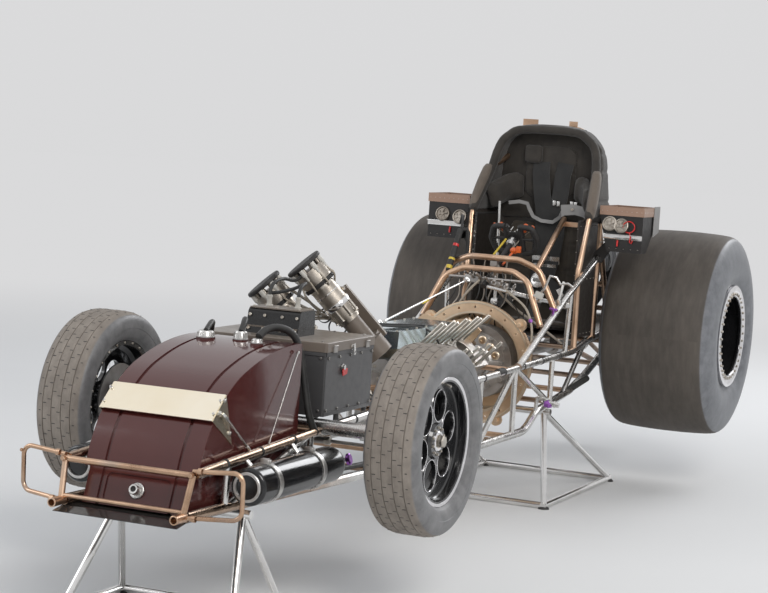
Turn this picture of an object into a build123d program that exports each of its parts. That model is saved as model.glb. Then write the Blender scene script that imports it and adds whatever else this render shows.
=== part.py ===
"""Drag racing car with its body lifted off, standing on two chassis stands.

Millimetres. +X is the car's left side, the nose points to -Y and +Z is up. The origin lies on the floor,
in the middle of the car's outline. Most places are given as x to the left, a station behind the front
axle, and a height above the plane that the tyres would stand on.
"""
from build123d import *
from math import atan2, cos, radians, sin
import os

os.makedirs("parts", exist_ok=True)

# Overall layout
wheelbase = 3175.0
nose_reach = 912.0
tail_reach = 4240.0
floor_gap = 250.0
front_axle_y = (nose_reach - tail_reach) / 2
fit_gap = 0.3
weld_gap = 0.8
pin_clearance = 0.05

# Front wheels and steering
front_axle_height = 311.0
front_track_half = 588.0
front_tyre_radius = 304.8
front_tyre_width = 182.0
front_rim_radius = 190.5
front_rim_width = 128.0
kingpin_x = 452.0
kingpin_radius = 11.0
spindle_radius = 14.0
axle_tube_radius = 25.0
steering_arm_length = 120.0

# Rear wheels and axle
rear_axle_height = 442.0
rear_track_half = 514.0
rear_tyre_radius = 456.0
rear_tread_half = 228.0
rear_bulge = 36.0
rear_rim_radius = 203.0
rear_hole_radius = 235.0
axle_shaft_radius = 25.0
housing_tube_radius = 48.0

# Groups that keep their place when the wheelbase changes: the engine and the magnetos by their share of
# it, the bellhousing and everything behind it by the distance ahead of the rear axle
engine_station = 0.411 * wheelbase
magneto_station = 0.164 * wheelbase
bellhousing_station = wheelbase - 1258.0
block_length = 590.0
block_front = engine_station - block_length / 2
block_back = engine_station + block_length / 2

# Chassis tubes
lower_rail_radius = 16.0
upper_rail_radius = 14.0
brace_radius = 11.0
hoop_radius = 13.0
cage_radius = 17.0
rail_x_front = 206.0
rail_x_mid = 270.0
rail_x_rear = 226.0
crank_height = 320.0
clutch_height = 345.0


def station(x, back, up):
    """Point x to the left, back behind the front axle and up above the tyre plane."""
    return (x, front_axle_y + back, floor_gap + up)


def stations(*places):
    """Several points given as in station."""
    return [station(*place) for place in places]


def from_nose(*places):
    """Several points given by x, the distance behind the nose's tip, and the height."""
    return [station(x, back - nose_reach, up) for x, back, up in places]


def ahead_of_rear(*places):
    """Several points given by x, the distance ahead of the rear axle, and the height."""
    return [station(x, wheelbase - ahead, up) for x, ahead, up in places]


def tube(points, radius, bend=None, mode=Mode.ADD):
    """Round bar along the points, with its corners bent to the given radius."""
    with BuildLine() as run:
        if bend is None:
            Line(points[0], points[1])
        else:
            FilletPolyline(*points, radius=bend)
    with BuildSketch(Plane(origin=run.line @ 0, z_dir=run.line % 0)) as section:
        Circle(radius)
    sweep(section.sketch, path=run.line, mode=mode)


def mirrored(points):
    """The same points on the car's other side."""
    return [(-x, y, z) for x, y, z in points]


def save(part, name):
    """Writes a finished piece under its node name."""
    part.label = name
    export_step(part, f"parts/{name}.step")


# Lines of the two rails on the left side, and of the shoulder bar that rises from the upper one
socket_x = 204.0
rail_front = 66.0
lower_rail = [*from_nose((socket_x, rail_front, 136)), station(222, 0, 118),
              station(rail_x_mid, engine_station - 55, 98),
              *ahead_of_rear((rail_x_mid, 1325, 98), (rail_x_mid, 1195, 165), (268, 775, 212),
                             (rail_x_rear, 445, 247), (rail_x_rear, 45, 380))]
upper_rail = [*from_nose((214, 94, 257)), station(222, 0, 300), station(rail_x_mid, engine_station - 30, 356),
              *ahead_of_rear((rail_x_mid, 775, 380), (rail_x_rear, 445, 402), (rail_x_rear, 45, 440))]
rail_bend = 220.0


def on_rail(rail, back):
    """Centre of a rail at the given station."""
    y = front_axle_y + back
    for start, end in zip(rail, rail[1:]):
        if start[1] <= y <= end[1]:
            share = (y - start[1]) / (end[1] - start[1])
            return tuple(a + share * (b - a) for a, b in zip(start, end))
    return rail[-1]


def rail_height(rail, back):
    """Height of a rail's centre above the tyre plane."""
    return on_rail(rail, back)[2] - floor_gap


shoulder_foot_ahead = 1451.0
shoulder_bar = [on_rail(upper_rail, wheelbase - shoulder_foot_ahead),
                *ahead_of_rear((281, 925, 628), (284, 400, 836))]


# Front bumper with its two body sockets
socket_bore_radius = 10.0
socket_length = 60.0
bumper_tube_radius = 9.5
bumper_top, bumper_low = from_nose((214, 81, 256), (socket_x, 50, 136))
loop_x = 369.0
loop_radius = 7.0
loop_bend = 30.0

with BuildPart() as front_bumper:
    for side in (1, -1):
        x, y, z = bumper_low
        with BuildSketch(Plane(origin=(side * x, front_axle_y - nose_reach, z), z_dir=(0, 1, 0))):
            Circle(14)
        extrude(amount=socket_length)
        top = (side * bumper_top[0], bumper_top[1], bumper_top[2])
        tube([(side * x, y, z), top], bumper_tube_radius)
        loop = from_nose((214, 81, 268), (loop_x, 94, 279), (loop_x, 100, 141), (socket_x, 54, 136))
        loop = loop if side > 0 else mirrored(loop)
        tube(loop, loop_radius, bend=loop_bend)
    tube([bumper_top, (-bumper_top[0], *bumper_top[1:])], bumper_tube_radius)
    lower = from_nose((socket_x, 55, 150))[0]
    tube([lower, (-lower[0], *lower[1:])], 7)
    for side in (1, -1):
        mouth = (side * socket_x, front_axle_y - nose_reach, bumper_low[2])
        with Locations(Plane(origin=mouth, z_dir=(0, -1, 0))):
            Hole(socket_bore_radius, depth=40)
save(front_bumper.part, "front_bumper")

# Pan under the tank
pan_thickness = 2.0
pan_half_width = 208.0
pan_front = 12.0 - nose_reach
pan_bend = rail_front - nose_reach
pan_back = -140.0
pan_lip = 9.0


def pan_top(back):
    """Height of the pan's upper face, just under the lower rails."""
    return rail_height(lower_rail, back) - lower_rail_radius - fit_gap


with BuildPart() as skid_pan:
    with BuildSketch(Plane(origin=station(-pan_half_width, 0, 0), z_dir=(1, 0, 0), x_dir=(0, 1, 0))):
        with BuildLine():
            upper = [(pan_back, pan_top(pan_back)), (pan_bend, pan_top(pan_bend)),
                     (pan_front, pan_top(pan_bend) - pan_lip)]
            lower = [(back, up - pan_thickness) for back, up in upper]
            Polyline(*upper, *lower[::-1], close=True)
        make_face()
    extrude(amount=2 * pan_half_width)
save(skid_pan.part, "skid_pan")

# Fuel tank with its raised middle, two grooves and a pressed front panel
tank_half_width = 190.0
tank_foot_half_width = 172.0
tank_groove_x = 122.0
tank_groove_width = 11.0
tank_groove_depth = 6.0
tank_bottom = 127.0
tank_front = 116.0 - nose_reach
tank_crease = (tank_front + 38, 230)
tank_shoulder = (tank_front + 321, 529)
tank_back = -104.0
tank_top = 584.0
tank_fitting_radius = 14.0
tank_caps = ((-96, tank_back - 118, 26, 20), (10, tank_back - 82, 21, 26), (96, tank_back - 136, 16, 14))
tank_panel_half_width = 108.0
tank_panel_depth = 5.0


def tank_outline():
    """Side view of the tank above its crease: a curved nose, a nearly level top and a plain back."""
    with BuildLine() as edge:
        nose = ThreePointArc(tank_crease, (tank_front + 136, 412), tank_shoulder)
        crown = ThreePointArc(nose @ 1, ((tank_shoulder[0] + tank_back) / 2, 574), (tank_back, tank_top))
        Polyline(crown @ 1, (tank_back, tank_bottom), (tank_front, tank_bottom), tank_crease)
    return edge.line


def tank_slice(x_from, x_to, inset):
    """One lengthwise slice of the tank, smaller all round by the inset."""
    with BuildSketch(Plane(origin=station(x_from, 0, 0), z_dir=(1, 0, 0), x_dir=(0, 1, 0))) as side_view:
        make_face(tank_outline().edges())
        if inset:
            offset(amount=-inset, mode=Mode.REPLACE)
    extrude(side_view.sketch, amount=x_to - x_from)


nose_lean = atan2(tank_crease[0] - tank_front, tank_crease[1] - tank_bottom)
nose_outward = (0, -cos(nose_lean), sin(nose_lean))
nose_middle = station(0, (tank_crease[0] + tank_front) / 2, (tank_crease[1] + tank_bottom) / 2)
nose_height = (tank_crease[1] - tank_bottom) / cos(nose_lean)

with BuildPart() as fuel_tank:
    half_groove = tank_groove_width / 2
    tank_slice(-tank_groove_x + half_groove, tank_groove_x - half_groove, 0)
    for side in (1, -1):
        edges = sorted((side * (tank_groove_x + half_groove), side * tank_half_width))
        tank_slice(edges[0], edges[1], 0)
        seam = sorted((side * (tank_groove_x - half_groove), side * (tank_groove_x + half_groove)))
        tank_slice(seam[0], seam[1], tank_groove_depth)
    for side in (1, -1):
        outside = (tank_half_width + tank_foot_half_width) / 2
        foot_height = tank_crease[1] - tank_bottom
        foot_middle = station(side * outside, (tank_front + tank_back) / 2, tank_bottom + foot_height / 2 - 1)
        with Locations(foot_middle):
            Box(tank_half_width - tank_foot_half_width, tank_back - tank_front + 70, foot_height + 2,
                mode=Mode.SUBTRACT)
    with BuildSketch(Plane(origin=nose_middle, x_dir=(1, 0, 0), z_dir=nose_outward)) as panel:
        RectangleRounded(2 * tank_panel_half_width, nose_height - 22, 18)
    extrude(panel.sketch, amount=-tank_panel_depth, mode=Mode.SUBTRACT)
    for back in (tank_front + 126, tank_back - 106):
        with BuildSketch(Plane(origin=station(0, back, pan_top(back) + 1))) as feet:
            with GridLocations(260, 0, 2, 1):
                Rectangle(24, 60)
        extrude(feet.sketch, amount=tank_bottom - pan_top(back))
    for x, back, radius, _ in tank_caps:
        with BuildSketch(Plane(origin=station(x, back, tank_top - 16))) as neck:
            Circle(radius + 5)
        extrude(neck.sketch, amount=18)
save(fuel_tank.part, "fuel_tank")

with BuildPart() as tank_fittings:
    for x, back, radius, height in tank_caps:
        with BuildSketch(Plane(origin=station(x, back, tank_top + 2 + fit_gap))):
            Circle(radius)
        extrude(amount=height, taper=8)
    fitting_foot = Vector(*nose_middle) + Vector(*nose_outward) * (fit_gap - tank_panel_depth)
    with BuildSketch(Plane(origin=fitting_foot, z_dir=nose_outward)):
        Circle(tank_fitting_radius)
        Circle(tank_fitting_radius - 5, mode=Mode.SUBTRACT)
    extrude(amount=22 + tank_panel_depth)
save(tank_fittings.part, "tank_fittings")

# Polished strip across the tank's nose, held by a gusset at each end
strip_low = (tank_front + 105, 396)
strip_high = (tank_front + 185, 466)
strip_thickness = 3.0
strip_half_width = tank_half_width + 2
gusset_foot = (tank_front + 236, 312)

with BuildPart() as tank_deflector:
    with BuildSketch(Plane(origin=station(-strip_half_width, 0, 0), z_dir=(1, 0, 0), x_dir=(0, 1, 0))):
        with BuildLine():
            strip = Polyline(strip_low, strip_high)
            offset(amount=strip_thickness, side=Side.LEFT)
        make_face()
    extrude(amount=2 * strip_half_width)
    for side in (1, -1):
        x = side * (tank_half_width + fit_gap)
        with BuildSketch(Plane(origin=station(x, 0, 0), z_dir=(side, 0, 0), x_dir=(0, side, 0))):
            with BuildLine():
                Polyline(*[(side * a, b) for a, b in (strip_low, strip_high, gusset_foot)], close=True)
            make_face()
        extrude(amount=3)
save(tank_deflector.part, "tank_deflector")

# Electronics box with its lid, and the coil box on the lid
box_half_width = 232.0
box_front = -10.0
box_back = 366.0
box_bottom = 343.0
box_lid_bottom = 552.0
box_top = 583.0
lid_overhang = 4.0
box_wall = 3.0

with BuildPart() as electronics_box:
    with Locations(station(0, (box_front + box_back) / 2, (box_bottom + box_lid_bottom) / 2)):
        Box(2 * box_half_width, box_back - box_front, box_lid_bottom - box_bottom)
    fillet(electronics_box.edges().filter_by(Axis.Z), 6)
    for side in (1, -1):
        for back in (box_front + 120, box_back - 36):
            with BuildSketch(Plane(origin=station(side * 224, back, box_bottom), z_dir=(0, 0, -1))):
                Circle(9)
            extrude(amount=box_bottom - rail_height(upper_rail, back) - upper_rail_radius - 0.5)
save(electronics_box.part, "electronics_box")

with BuildPart() as box_lid:
    with Locations(station(0, (box_front + box_back) / 2, (box_lid_bottom + box_top) / 2)):
        Box(2 * (box_half_width + lid_overhang), box_back - box_front + 2 * lid_overhang,
            box_top - box_lid_bottom)
    fillet(box_lid.edges().filter_by(Axis.Z), 8)
    fillet(box_lid.faces().sort_by(Axis.Z)[-1].edges(), 3)
save(box_lid.part, "box_lid")

coil_front = 82.0
coil_back = 196.0
coil_half_width = 96.0
coil_x = -8.0
coil_top = 664.0
with BuildPart() as coil_box:
    with BuildSketch(Plane(origin=station(coil_x - coil_half_width, 0, 0), z_dir=(1, 0, 0), x_dir=(0, 1, 0))):
        with BuildLine():
            Polyline((coil_front - 16, box_top), (coil_front, coil_top - 10), (coil_front + 8, coil_top),
                     (coil_back, coil_top), (coil_back, box_top), close=True)
        make_face()
    extrude(amount=2 * coil_half_width)
save(coil_box.part, "coil_box")

# Magneto drive in front of the engine, with two magnetos leaning to the right
magneto_axis = (-0.60, -0.32, 0.73)
magneto_base_left = station(70, magneto_station, 610)
magneto_base_right = station(-70, magneto_station - 20, 530)
magneto_body_radius = 46.0
magneto_cap_radius = 62.0


def magneto(base):
    """One magneto: a finned body with a clamp band and a wide cap with posts for the leads."""
    plane = Plane(origin=base, z_dir=magneto_axis)
    for from_base, length, radius in ((0, 70, 40), (70, 14, 49), (84, 86, magneto_body_radius), (170, 12, 56),
                                      (182, 46, magneto_cap_radius)):
        with BuildSketch(plane.offset(from_base)) as slab:
            Circle(radius)
        extrude(slab.sketch, amount=length)
    with BuildSketch(plane.offset(228)) as posts:
        with PolarLocations(46, 8):
            Circle(10)
    extrude(posts.sketch, amount=22)


with BuildPart() as magnetos:
    magneto(magneto_base_left)
    magneto(magneto_base_right)
save(magnetos.part, "magnetos")

# Drive case that carries both magnetos, with a back plate and a foot on a cross tube
drive_reach = 100.0
drive_depth = 60.0
drive_foot_station = magneto_station + 45
back_plate_place = (61, magneto_station + 198, 575)
back_plate_width = 62.0
with BuildPart() as magneto_drive:
    lean = Vector(*magneto_axis).normalized()
    case_plane = Plane(origin=Vector(*magneto_base_left) - lean * drive_reach,
                       x_dir=(1, 0, 0.8219), z_dir=tuple(lean))
    for base in (magneto_base_left, magneto_base_right):
        top = Vector(*base) - lean * fit_gap
        foot = case_plane.to_local_coords(top)
        neck_start = case_plane.from_local_coords((foot.X, foot.Y, 0))
        with BuildSketch(Plane(origin=neck_start, z_dir=tuple(lean))) as neck:
            Circle(34)
        extrude(neck.sketch, amount=foot.Z)
    right = case_plane.to_local_coords(Vector(*magneto_base_right))
    plate = case_plane.to_local_coords(Vector(*station(*back_plate_place)))
    with BuildSketch(case_plane) as case:
        Circle(54)
        with Locations((right.X, right.Y)):
            Circle(54)
        make_hull()
    extrude(case.sketch, amount=-drive_depth)
    with BuildSketch(case_plane.offset(-30)) as arm:
        Circle(18)
        with Locations((plate.X, plate.Y)):
            Circle(18)
        make_hull()
    extrude(arm.sketch, amount=24)
    with BuildSketch(case_plane.offset(-40)) as blade:
        with Locations((plate.X, plate.Y)):
            Rectangle(back_plate_width, 14)
    extrude(blade.sketch, amount=230)
    rail_up = rail_height(upper_rail, drive_foot_station) + brace_radius + fit_gap
    with BuildSketch(Plane(origin=station(40, drive_foot_station, rail_up))) as post:
        Rectangle(40, 20)
    extrude(post.sketch, amount=80)
save(magneto_drive.part, "magneto_drive")

# Open V8 block: two banks at a right angle, bores with pistons, studs on the left bank
bank_angle = 45.0
deck_distance = 180.0
deck_inner = -50.0
deck_outer = 92.0
bore_radius = 52.0
bore_offset = 18.0
bore_margin_front = 37.0
bore_margin_back = 65.0
bore_pitch = (block_length - bore_margin_front - bore_margin_back) / 4
bore_depth = 60.0
stud_radius = 5.5
stud_length = 150.0


def bank_plane(side, back):
    """Deck plane of one bank: X runs to the rear and Y runs outward and down along the deck."""
    turn = radians(bank_angle)
    normal = Vector(side * sin(turn), 0, cos(turn))
    across = Vector(side * cos(turn), 0, -sin(turn))
    centre = Vector(*station(0, back, crank_height)) + normal * deck_distance
    return Plane(origin=centre, x_dir=across, z_dir=normal)


with BuildPart() as engine_block:
    with BuildSketch(Plane(origin=station(0, block_back, crank_height), z_dir=(0, -1, 0), x_dir=(1, 0, 0))):
        with BuildLine():
            corners = []
            for side in (1, -1):
                turn = radians(bank_angle)
                inner = (side * (deck_distance * sin(turn) + deck_inner * cos(turn)),
                         deck_distance * cos(turn) - deck_inner * sin(turn))
                outer = (side * (deck_distance * sin(turn) + deck_outer * cos(turn)),
                         deck_distance * cos(turn) - deck_outer * sin(turn))
                waist = (side * 112, 10)
                sump = (side * 108, -86)
                corners.append([inner, outer, waist, sump])
            valley = (0, 96)
            Polyline(valley, *corners[0], *reversed(corners[1]), close=True)
        make_face()
    extrude(amount=block_length)
    for side in (1, -1):
        for number in range(4):
            back = block_front + bore_margin_front + (number + 0.5) * bore_pitch
            with BuildSketch(bank_plane(side, back)) as bore:
                with Locations((bore_offset, 0)):
                    Circle(bore_radius)
            extrude(bore.sketch, amount=-bore_depth, mode=Mode.SUBTRACT)
save(engine_block.part, "engine_block")

with BuildPart() as pistons:
    for side in (1, -1):
        for number, drop in enumerate((18, 44, 30, 52)):
            back = block_front + bore_margin_front + (number + 0.5) * bore_pitch
            with BuildSketch(bank_plane(side, back).offset(-bore_depth)) as crown:
                with Locations((bore_offset, 0)):
                    Circle(bore_radius - fit_gap)
            extrude(crown.sketch, amount=bore_depth - drop)
save(pistons.part, "pistons")

with BuildPart() as head_studs:
    for row, length in ((-38, stud_length), (74, stud_length - 30)):
        for number in range(5):
            back = block_front + bore_margin_front + number * bore_pitch
            with BuildSketch(bank_plane(1, back)) as foot:
                with Locations((row, 0)):
                    Circle(stud_radius)
            extrude(foot.sketch, amount=length)
        for number in range(4):
            back = block_front + bore_margin_front + (number + 0.5) * bore_pitch
            with BuildSketch(bank_plane(1, back)) as foot:
                with Locations((row + (8 if row > 0 else 0), 0)):
                    Circle(stud_radius)
            extrude(foot.sketch, amount=length - 14)
save(head_studs.part, "head_studs")

cover_front = block_front - 110
cover_back = block_back - 120
cover_half_width = 98.0
cover_foot_half_width = 94.0
cover_top = 546.0
cover_depth = 63.0
with BuildPart() as valley_cover:
    with BuildSketch(Plane(origin=station(0, cover_back, 0), z_dir=(0, -1, 0), x_dir=(1, 0, 0))):
        with BuildLine():
            Polyline((-cover_foot_half_width, cover_top - cover_depth), (-cover_half_width, cover_top),
                     (cover_half_width, cover_top), (cover_foot_half_width, cover_top - cover_depth),
                     close=True)
        make_face()
    extrude(amount=cover_back - cover_front)
save(valley_cover.part, "valley_cover")

with BuildPart() as front_case:
    with BuildSketch(Plane(origin=station(0, block_front - fit_gap, crank_height), z_dir=(0, -1, 0))) as case:
        with BuildLine():
            Polyline((-104, -70), (104, -70), (120, 40), (60, 120), (-60, 120), (-120, 40), close=True)
        make_face()
    extrude(amount=90)
    with BuildSketch(Plane(origin=station(0, block_front - 90, crank_height), z_dir=(0, -1, 0))):
        Circle(78)
    extrude(amount=46)
save(front_case.part, "front_case")

pan_depth = 123.5
with BuildPart() as oil_pan:
    with BuildSketch(Plane(origin=station(0, (block_front + block_back) / 2, crank_height - 86 - fit_gap))):
        Rectangle(212, block_length)
    extrude(amount=-pan_depth, taper=8)
save(oil_pan.part, "oil_pan")

# Bellhousing: an open flange ring, the can seated behind it, and the plate on the block's rear
ring_outer_radius = 254.0
ring_inner_radius = 203.0
ring_thickness = 16.0
can_length = 140.0
can_wall = 5.0
can_plate = 8.0
pinion_reach = 260.0
ring_holes = 20
ring_hole_radius = 5.0
shaft_hole_radius = 52.0

with BuildPart() as bellhousing:
    face_plane = Plane(origin=station(0, bellhousing_station, clutch_height), z_dir=(0, 1, 0), x_dir=(1, 0, 0))
    with BuildSketch(face_plane):
        Circle(ring_outer_radius)
        for turn in (41, 139):
            with Locations(Rot(0, 0, -turn) * Pos(ring_outer_radius + 8, 0)):
                Circle(26)
        for turn in (-62, -118):
            with Locations(Rot(0, 0, -turn) * Pos(ring_outer_radius + 2, 0)):
                Circle(24)
        Circle(ring_inner_radius, mode=Mode.SUBTRACT)
        with PolarLocations((ring_outer_radius + ring_inner_radius) / 2, ring_holes):
            Circle(ring_hole_radius, mode=Mode.SUBTRACT)
    extrude(amount=ring_thickness)
    with BuildSketch(face_plane.offset(ring_thickness + fit_gap)):
        Circle(ring_inner_radius + can_wall)
        Circle(ring_inner_radius, mode=Mode.SUBTRACT)
    extrude(amount=can_length - fit_gap)
    with BuildSketch(face_plane.offset(ring_thickness + can_length)):
        Circle(ring_inner_radius + can_wall)
        Circle(shaft_hole_radius + 1, mode=Mode.SUBTRACT)
    extrude(amount=can_plate)
save(bellhousing.part, "bellhousing")

plate_thickness = 12.0
with BuildPart() as motor_plate:
    with BuildSketch(Plane(origin=station(0, block_back, crank_height), z_dir=(0, 1, 0), x_dir=(1, 0, 0))):
        with BuildLine():
            Polyline((-116, 140), (-116, -96), (-62, -178), (62, -178), (116, -96), (116, 140),
                     (150, 190), (96, 236), (0, 214), (-96, 236), (-150, 190), close=True)
        make_face()
        mirror(about=Plane.XZ, mode=Mode.REPLACE)
    extrude(amount=plate_thickness)
    with BuildSketch(Plane(origin=station(0, block_back + plate_thickness, crank_height), z_dir=(0, 1, 0))):
        Circle(30)
    extrude(amount=60)
save(motor_plate.part, "motor_plate")

# Clutch inside the bellhousing, then the reverser and the coupler to the rear axle
with BuildPart() as driveline:
    can_back = bellhousing_station + ring_thickness + can_length + can_plate
    coupler_front = can_back + 254
    for from_back, to_back, radius in ((bellhousing_station + 59, bellhousing_station + 149, 150),
                                       (bellhousing_station + 149, coupler_front + 60, 48),
                                       (can_back + fit_gap, coupler_front, 96),
                                       (coupler_front, wheelbase - pinion_reach - fit_gap, 26)):
        with BuildSketch(Plane(origin=station(0, from_back, clutch_height), z_dir=(0, 1, 0))) as disc:
            Circle(radius)
        extrude(disc.sketch, amount=to_back - from_back)
save(driveline.part, "driveline")

# Side frames: a lower and an upper rail on each side, then the uprights and diagonals between them
upright_stations = (292 - nose_reach, -70, magneto_station - 40, block_front - 80, engine_station + 15,
                    wheelbase - 1475, wheelbase - 1030)
diagonals = ((0, 1), (2, 3), (4, 3), (4, 5), (6, 5))
rear_brace = (wheelbase - 875, wheelbase - 495)
rear_cut_radius = 92.0


def cut_for_axles(side):
    """Clears the axle plate at the rear and the front axle's tube on one side."""
    with Locations(Plane(origin=station(side * 150, wheelbase, rear_axle_height), z_dir=(side, 0, 0))):
        Cylinder(rear_cut_radius + fit_gap, 400, mode=Mode.SUBTRACT)
    with Locations(Plane(origin=station(side * 150, 0, front_axle_height), z_dir=(side, 0, 0))):
        Cylinder(axle_tube_radius + fit_gap, 400, mode=Mode.SUBTRACT)


def both_rails(side):
    """The lower and the upper rail of one side, each with its tube's radius."""
    rails = ((lower_rail, lower_rail_radius), (upper_rail, upper_rail_radius))
    return [(rail if side > 0 else mirrored(rail), radius) for rail, radius in rails]


for side, word in ((1, "left"), (-1, "right")):
    with BuildPart() as side_frame:
        for rail, radius in both_rails(side):
            tube(rail, radius, bend=rail_bend)
        cut_for_axles(side)
    save(side_frame.part, f"side_frame_{word}")

with BuildPart() as frame_braces:
    for side in (1, -1):
        (low_rail, _), (high_rail, _) = both_rails(side)
        uprights = [(on_rail(low_rail, back), on_rail(high_rail, back)) for back in upright_stations]
        for low, high in diagonals:
            tube([uprights[low][0], uprights[high][1]], brace_radius)
        tube([on_rail(low_rail, rear_brace[0]), on_rail(high_rail, rear_brace[1])], brace_radius)
        for upright in uprights:
            tube(upright, brace_radius + fit_gap, mode=Mode.SUBTRACT)
        for upright in uprights:
            tube(upright, brace_radius)
        for rail, radius in both_rails(side):
            tube(rail, radius + fit_gap, bend=rail_bend, mode=Mode.SUBTRACT)
        cut_for_axles(side)
save(frame_braces.part, "frame_braces")

# Shoulder bars: each rises from the upper rail beside the bellhousing to the main hoop, with one upright
shoulder_post_station = wheelbase - 875
with BuildPart() as shoulder_bars:
    for side in (1, -1):
        rail, bar = (upper_rail, shoulder_bar) if side > 0 else (mirrored(upper_rail), mirrored(shoulder_bar))
        tube(bar, upper_rail_radius, bend=rail_bend)
        foot = on_rail(rail, shoulder_post_station)
        tube([foot, on_rail(bar, shoulder_post_station)], brace_radius)
        tube(rail, upper_rail_radius + fit_gap, bend=rail_bend, mode=Mode.SUBTRACT)
save(shoulder_bars.part, "shoulder_bars")

# Pressure bottle on each side of the tank
bottle_radius = 58.0
bottle_x = 290.0
bottle_height = 205.0
bottle_front = 280.0 - nose_reach
bottle_length = 590.0
strap_thickness = 3.0
strap_width = 26.0
strap_places = (95, 400)


def bottle_plane(side):
    """Plane at the front end of one bottle, facing along it."""
    return Plane(origin=station(side * bottle_x, bottle_front, bottle_height), z_dir=(0, 1, 0), x_dir=(1, 0, 0))


for side, word in ((1, "left"), (-1, "right")):
    axis_plane = bottle_plane(side)
    with BuildPart() as bottle:
        with BuildSketch(axis_plane):
            Circle(bottle_radius)
        extrude(amount=bottle_length)
        ends = bottle.edges().filter_by(GeomType.CIRCLE)
        fillet(ends.sort_by(Axis.Y)[0], 12)
        fillet(bottle.edges().filter_by(GeomType.CIRCLE).sort_by(Axis.Y)[-1], 34)
        with BuildSketch(axis_plane):
            Circle(44)
            Circle(36, mode=Mode.SUBTRACT)
        extrude(amount=-6)
    save(bottle.part, f"bottle_{word}")

with BuildPart() as bottle_straps:
    for side in (1, -1):
        axis_plane = bottle_plane(side)
        for place in strap_places:
            with BuildSketch(axis_plane.offset(place)):
                Circle(bottle_radius + fit_gap + strap_thickness)
                Circle(bottle_radius + fit_gap, mode=Mode.SUBTRACT)
            extrude(amount=strap_width)
            rail_centre = Vector(*on_rail(upper_rail, bottle_front + place + strap_width / 2))
            rail_centre.X *= side
            ring_back = bottle_front + place + strap_width / 2
            ring_centre = Vector(*station(side * bottle_x, ring_back, bottle_height))
            toward = (rail_centre - ring_centre).normalized()
            link = [ring_centre + toward * (bottle_radius + fit_gap + 1),
                    rail_centre - toward * (upper_rail_radius + fit_gap)]
            tube([tuple(point) for point in link], 8)
save(bottle_straps.part, "bottle_straps")

# Cross members between the side frames
cross_low = (-46, box_back + 90, block_front - 104, block_front + 190, block_back - 100, block_back + 60,
             wheelbase - 1006, wheelbase - 775, wheelbase - 475, wheelbase - 315)
cross_high = (-46, box_back + 90, drive_foot_station, block_front - 150, block_back + 40,
              wheelbase - 675, wheelbase - 435)
with BuildPart() as cross_members:
    for rail, radius, places in ((lower_rail, lower_rail_radius, cross_low),
                                 (upper_rail, upper_rail_radius, cross_high)):
        for back in places:
            x, y, z = on_rail(rail, back)
            tube([(-x, y, z), (x, y, z)], brace_radius)
        for run in (rail, mirrored(rail)):
            tube(run, radius + fit_gap, bend=rail_bend, mode=Mode.SUBTRACT)
save(cross_members.part, "cross_members")

# Cockpit tub's sizes
tub_half_width = 236.0
tub_wall = 5.0
tub_front = wheelbase - 700
tub_back = wheelbase - 405
tub_floor = 425.0
tub_top = 930.0

# Dash hoops over the clutch, and a straight bar from the rear one to a bracket on the tub's left wall
front_hoop = ahead_of_rear((260, 1185, 516), (182, 1153, 688), (110, 1135, 724))
rear_hoop = ahead_of_rear((276, 1063, 575), (196, 1063, 736), (108, 1071, 770))


def full_arch(half):
    """A left half of an arch and its mirror image, as one run of points."""
    return half + mirrored(half)[::-1]


knee_bar = ahead_of_rear((188, 1063, 738), (148, 640, 936))

with BuildPart() as dash_hoops:
    tube(full_arch(front_hoop), hoop_radius, bend=78)
    tube(full_arch(rear_hoop), hoop_radius, bend=78)
    for side in (1, -1):
        bar = shoulder_bar if side > 0 else mirrored(shoulder_bar)
        tube(bar[:2], upper_rail_radius + fit_gap, mode=Mode.SUBTRACT)
    tube(knee_bar, 12)
    bracket_end = tub_half_width - tub_wall - fit_gap
    with Locations(((knee_bar[1][0] + bracket_end) / 2, knee_bar[1][1], floor_gap + tub_top - 15)):
        Box(bracket_end - knee_bar[1][0], 24, 20)
save(dash_hoops.part, "dash_hoops")

# Roll cage round the driver: the main hoop, the two front legs and the stays to the axle housing
leg_radius = 13.0
leg_bend = 110.0
main_hoop = ahead_of_rear((rail_x_rear, 385, 408), (rail_x_rear, 385, 900), (200, 385, 1210),
                          (120, 385, 1320))
cage_leg = ahead_of_rear((262, 735, 384), (254, 718, 716), (268.5, 662, 945), (248, 520, 1140),
                         (198, 389, 1205))
rear_stay = ahead_of_rear((170, 375, 1245), (176, 15, 481.8))
stay_cross_ahead = (211, 85)
hoop_tabs = ((-125, 70), (76, 38))
with BuildPart() as roll_cage:
    tube(full_arch(main_hoop), cage_radius, bend=55)
    for side in (1, -1):
        tube(cage_leg if side > 0 else mirrored(cage_leg), leg_radius, bend=leg_bend)
        tube(rear_stay if side > 0 else mirrored(rear_stay), leg_radius)
    for ahead in stay_cross_ahead:
        y = front_axle_y + wheelbase - ahead
        share = (y - rear_stay[0][1]) / (rear_stay[1][1] - rear_stay[0][1])
        x, y, z = (a + share * (b - a) for a, b in zip(*rear_stay))
        tube([(-x, y, z), (x, y, z)], brace_radius)
    for x, width in hoop_tabs:
        with Locations((x, main_hoop[-1][1], main_hoop[-1][2] + cage_radius)):
            Box(width, 6, 46)
    with Locations(Plane(origin=station(0, wheelbase, rear_axle_height), z_dir=(1, 0, 0))):
        Cylinder(housing_tube_radius + fit_gap, 600, mode=Mode.SUBTRACT)
    for side in (1, -1):
        for rail, radius in ((upper_rail, upper_rail_radius), (shoulder_bar, upper_rail_radius)):
            tube(rail if side > 0 else mirrored(rail), radius + fit_gap, bend=rail_bend, mode=Mode.SUBTRACT)
save(roll_cage.part, "roll_cage")

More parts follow.
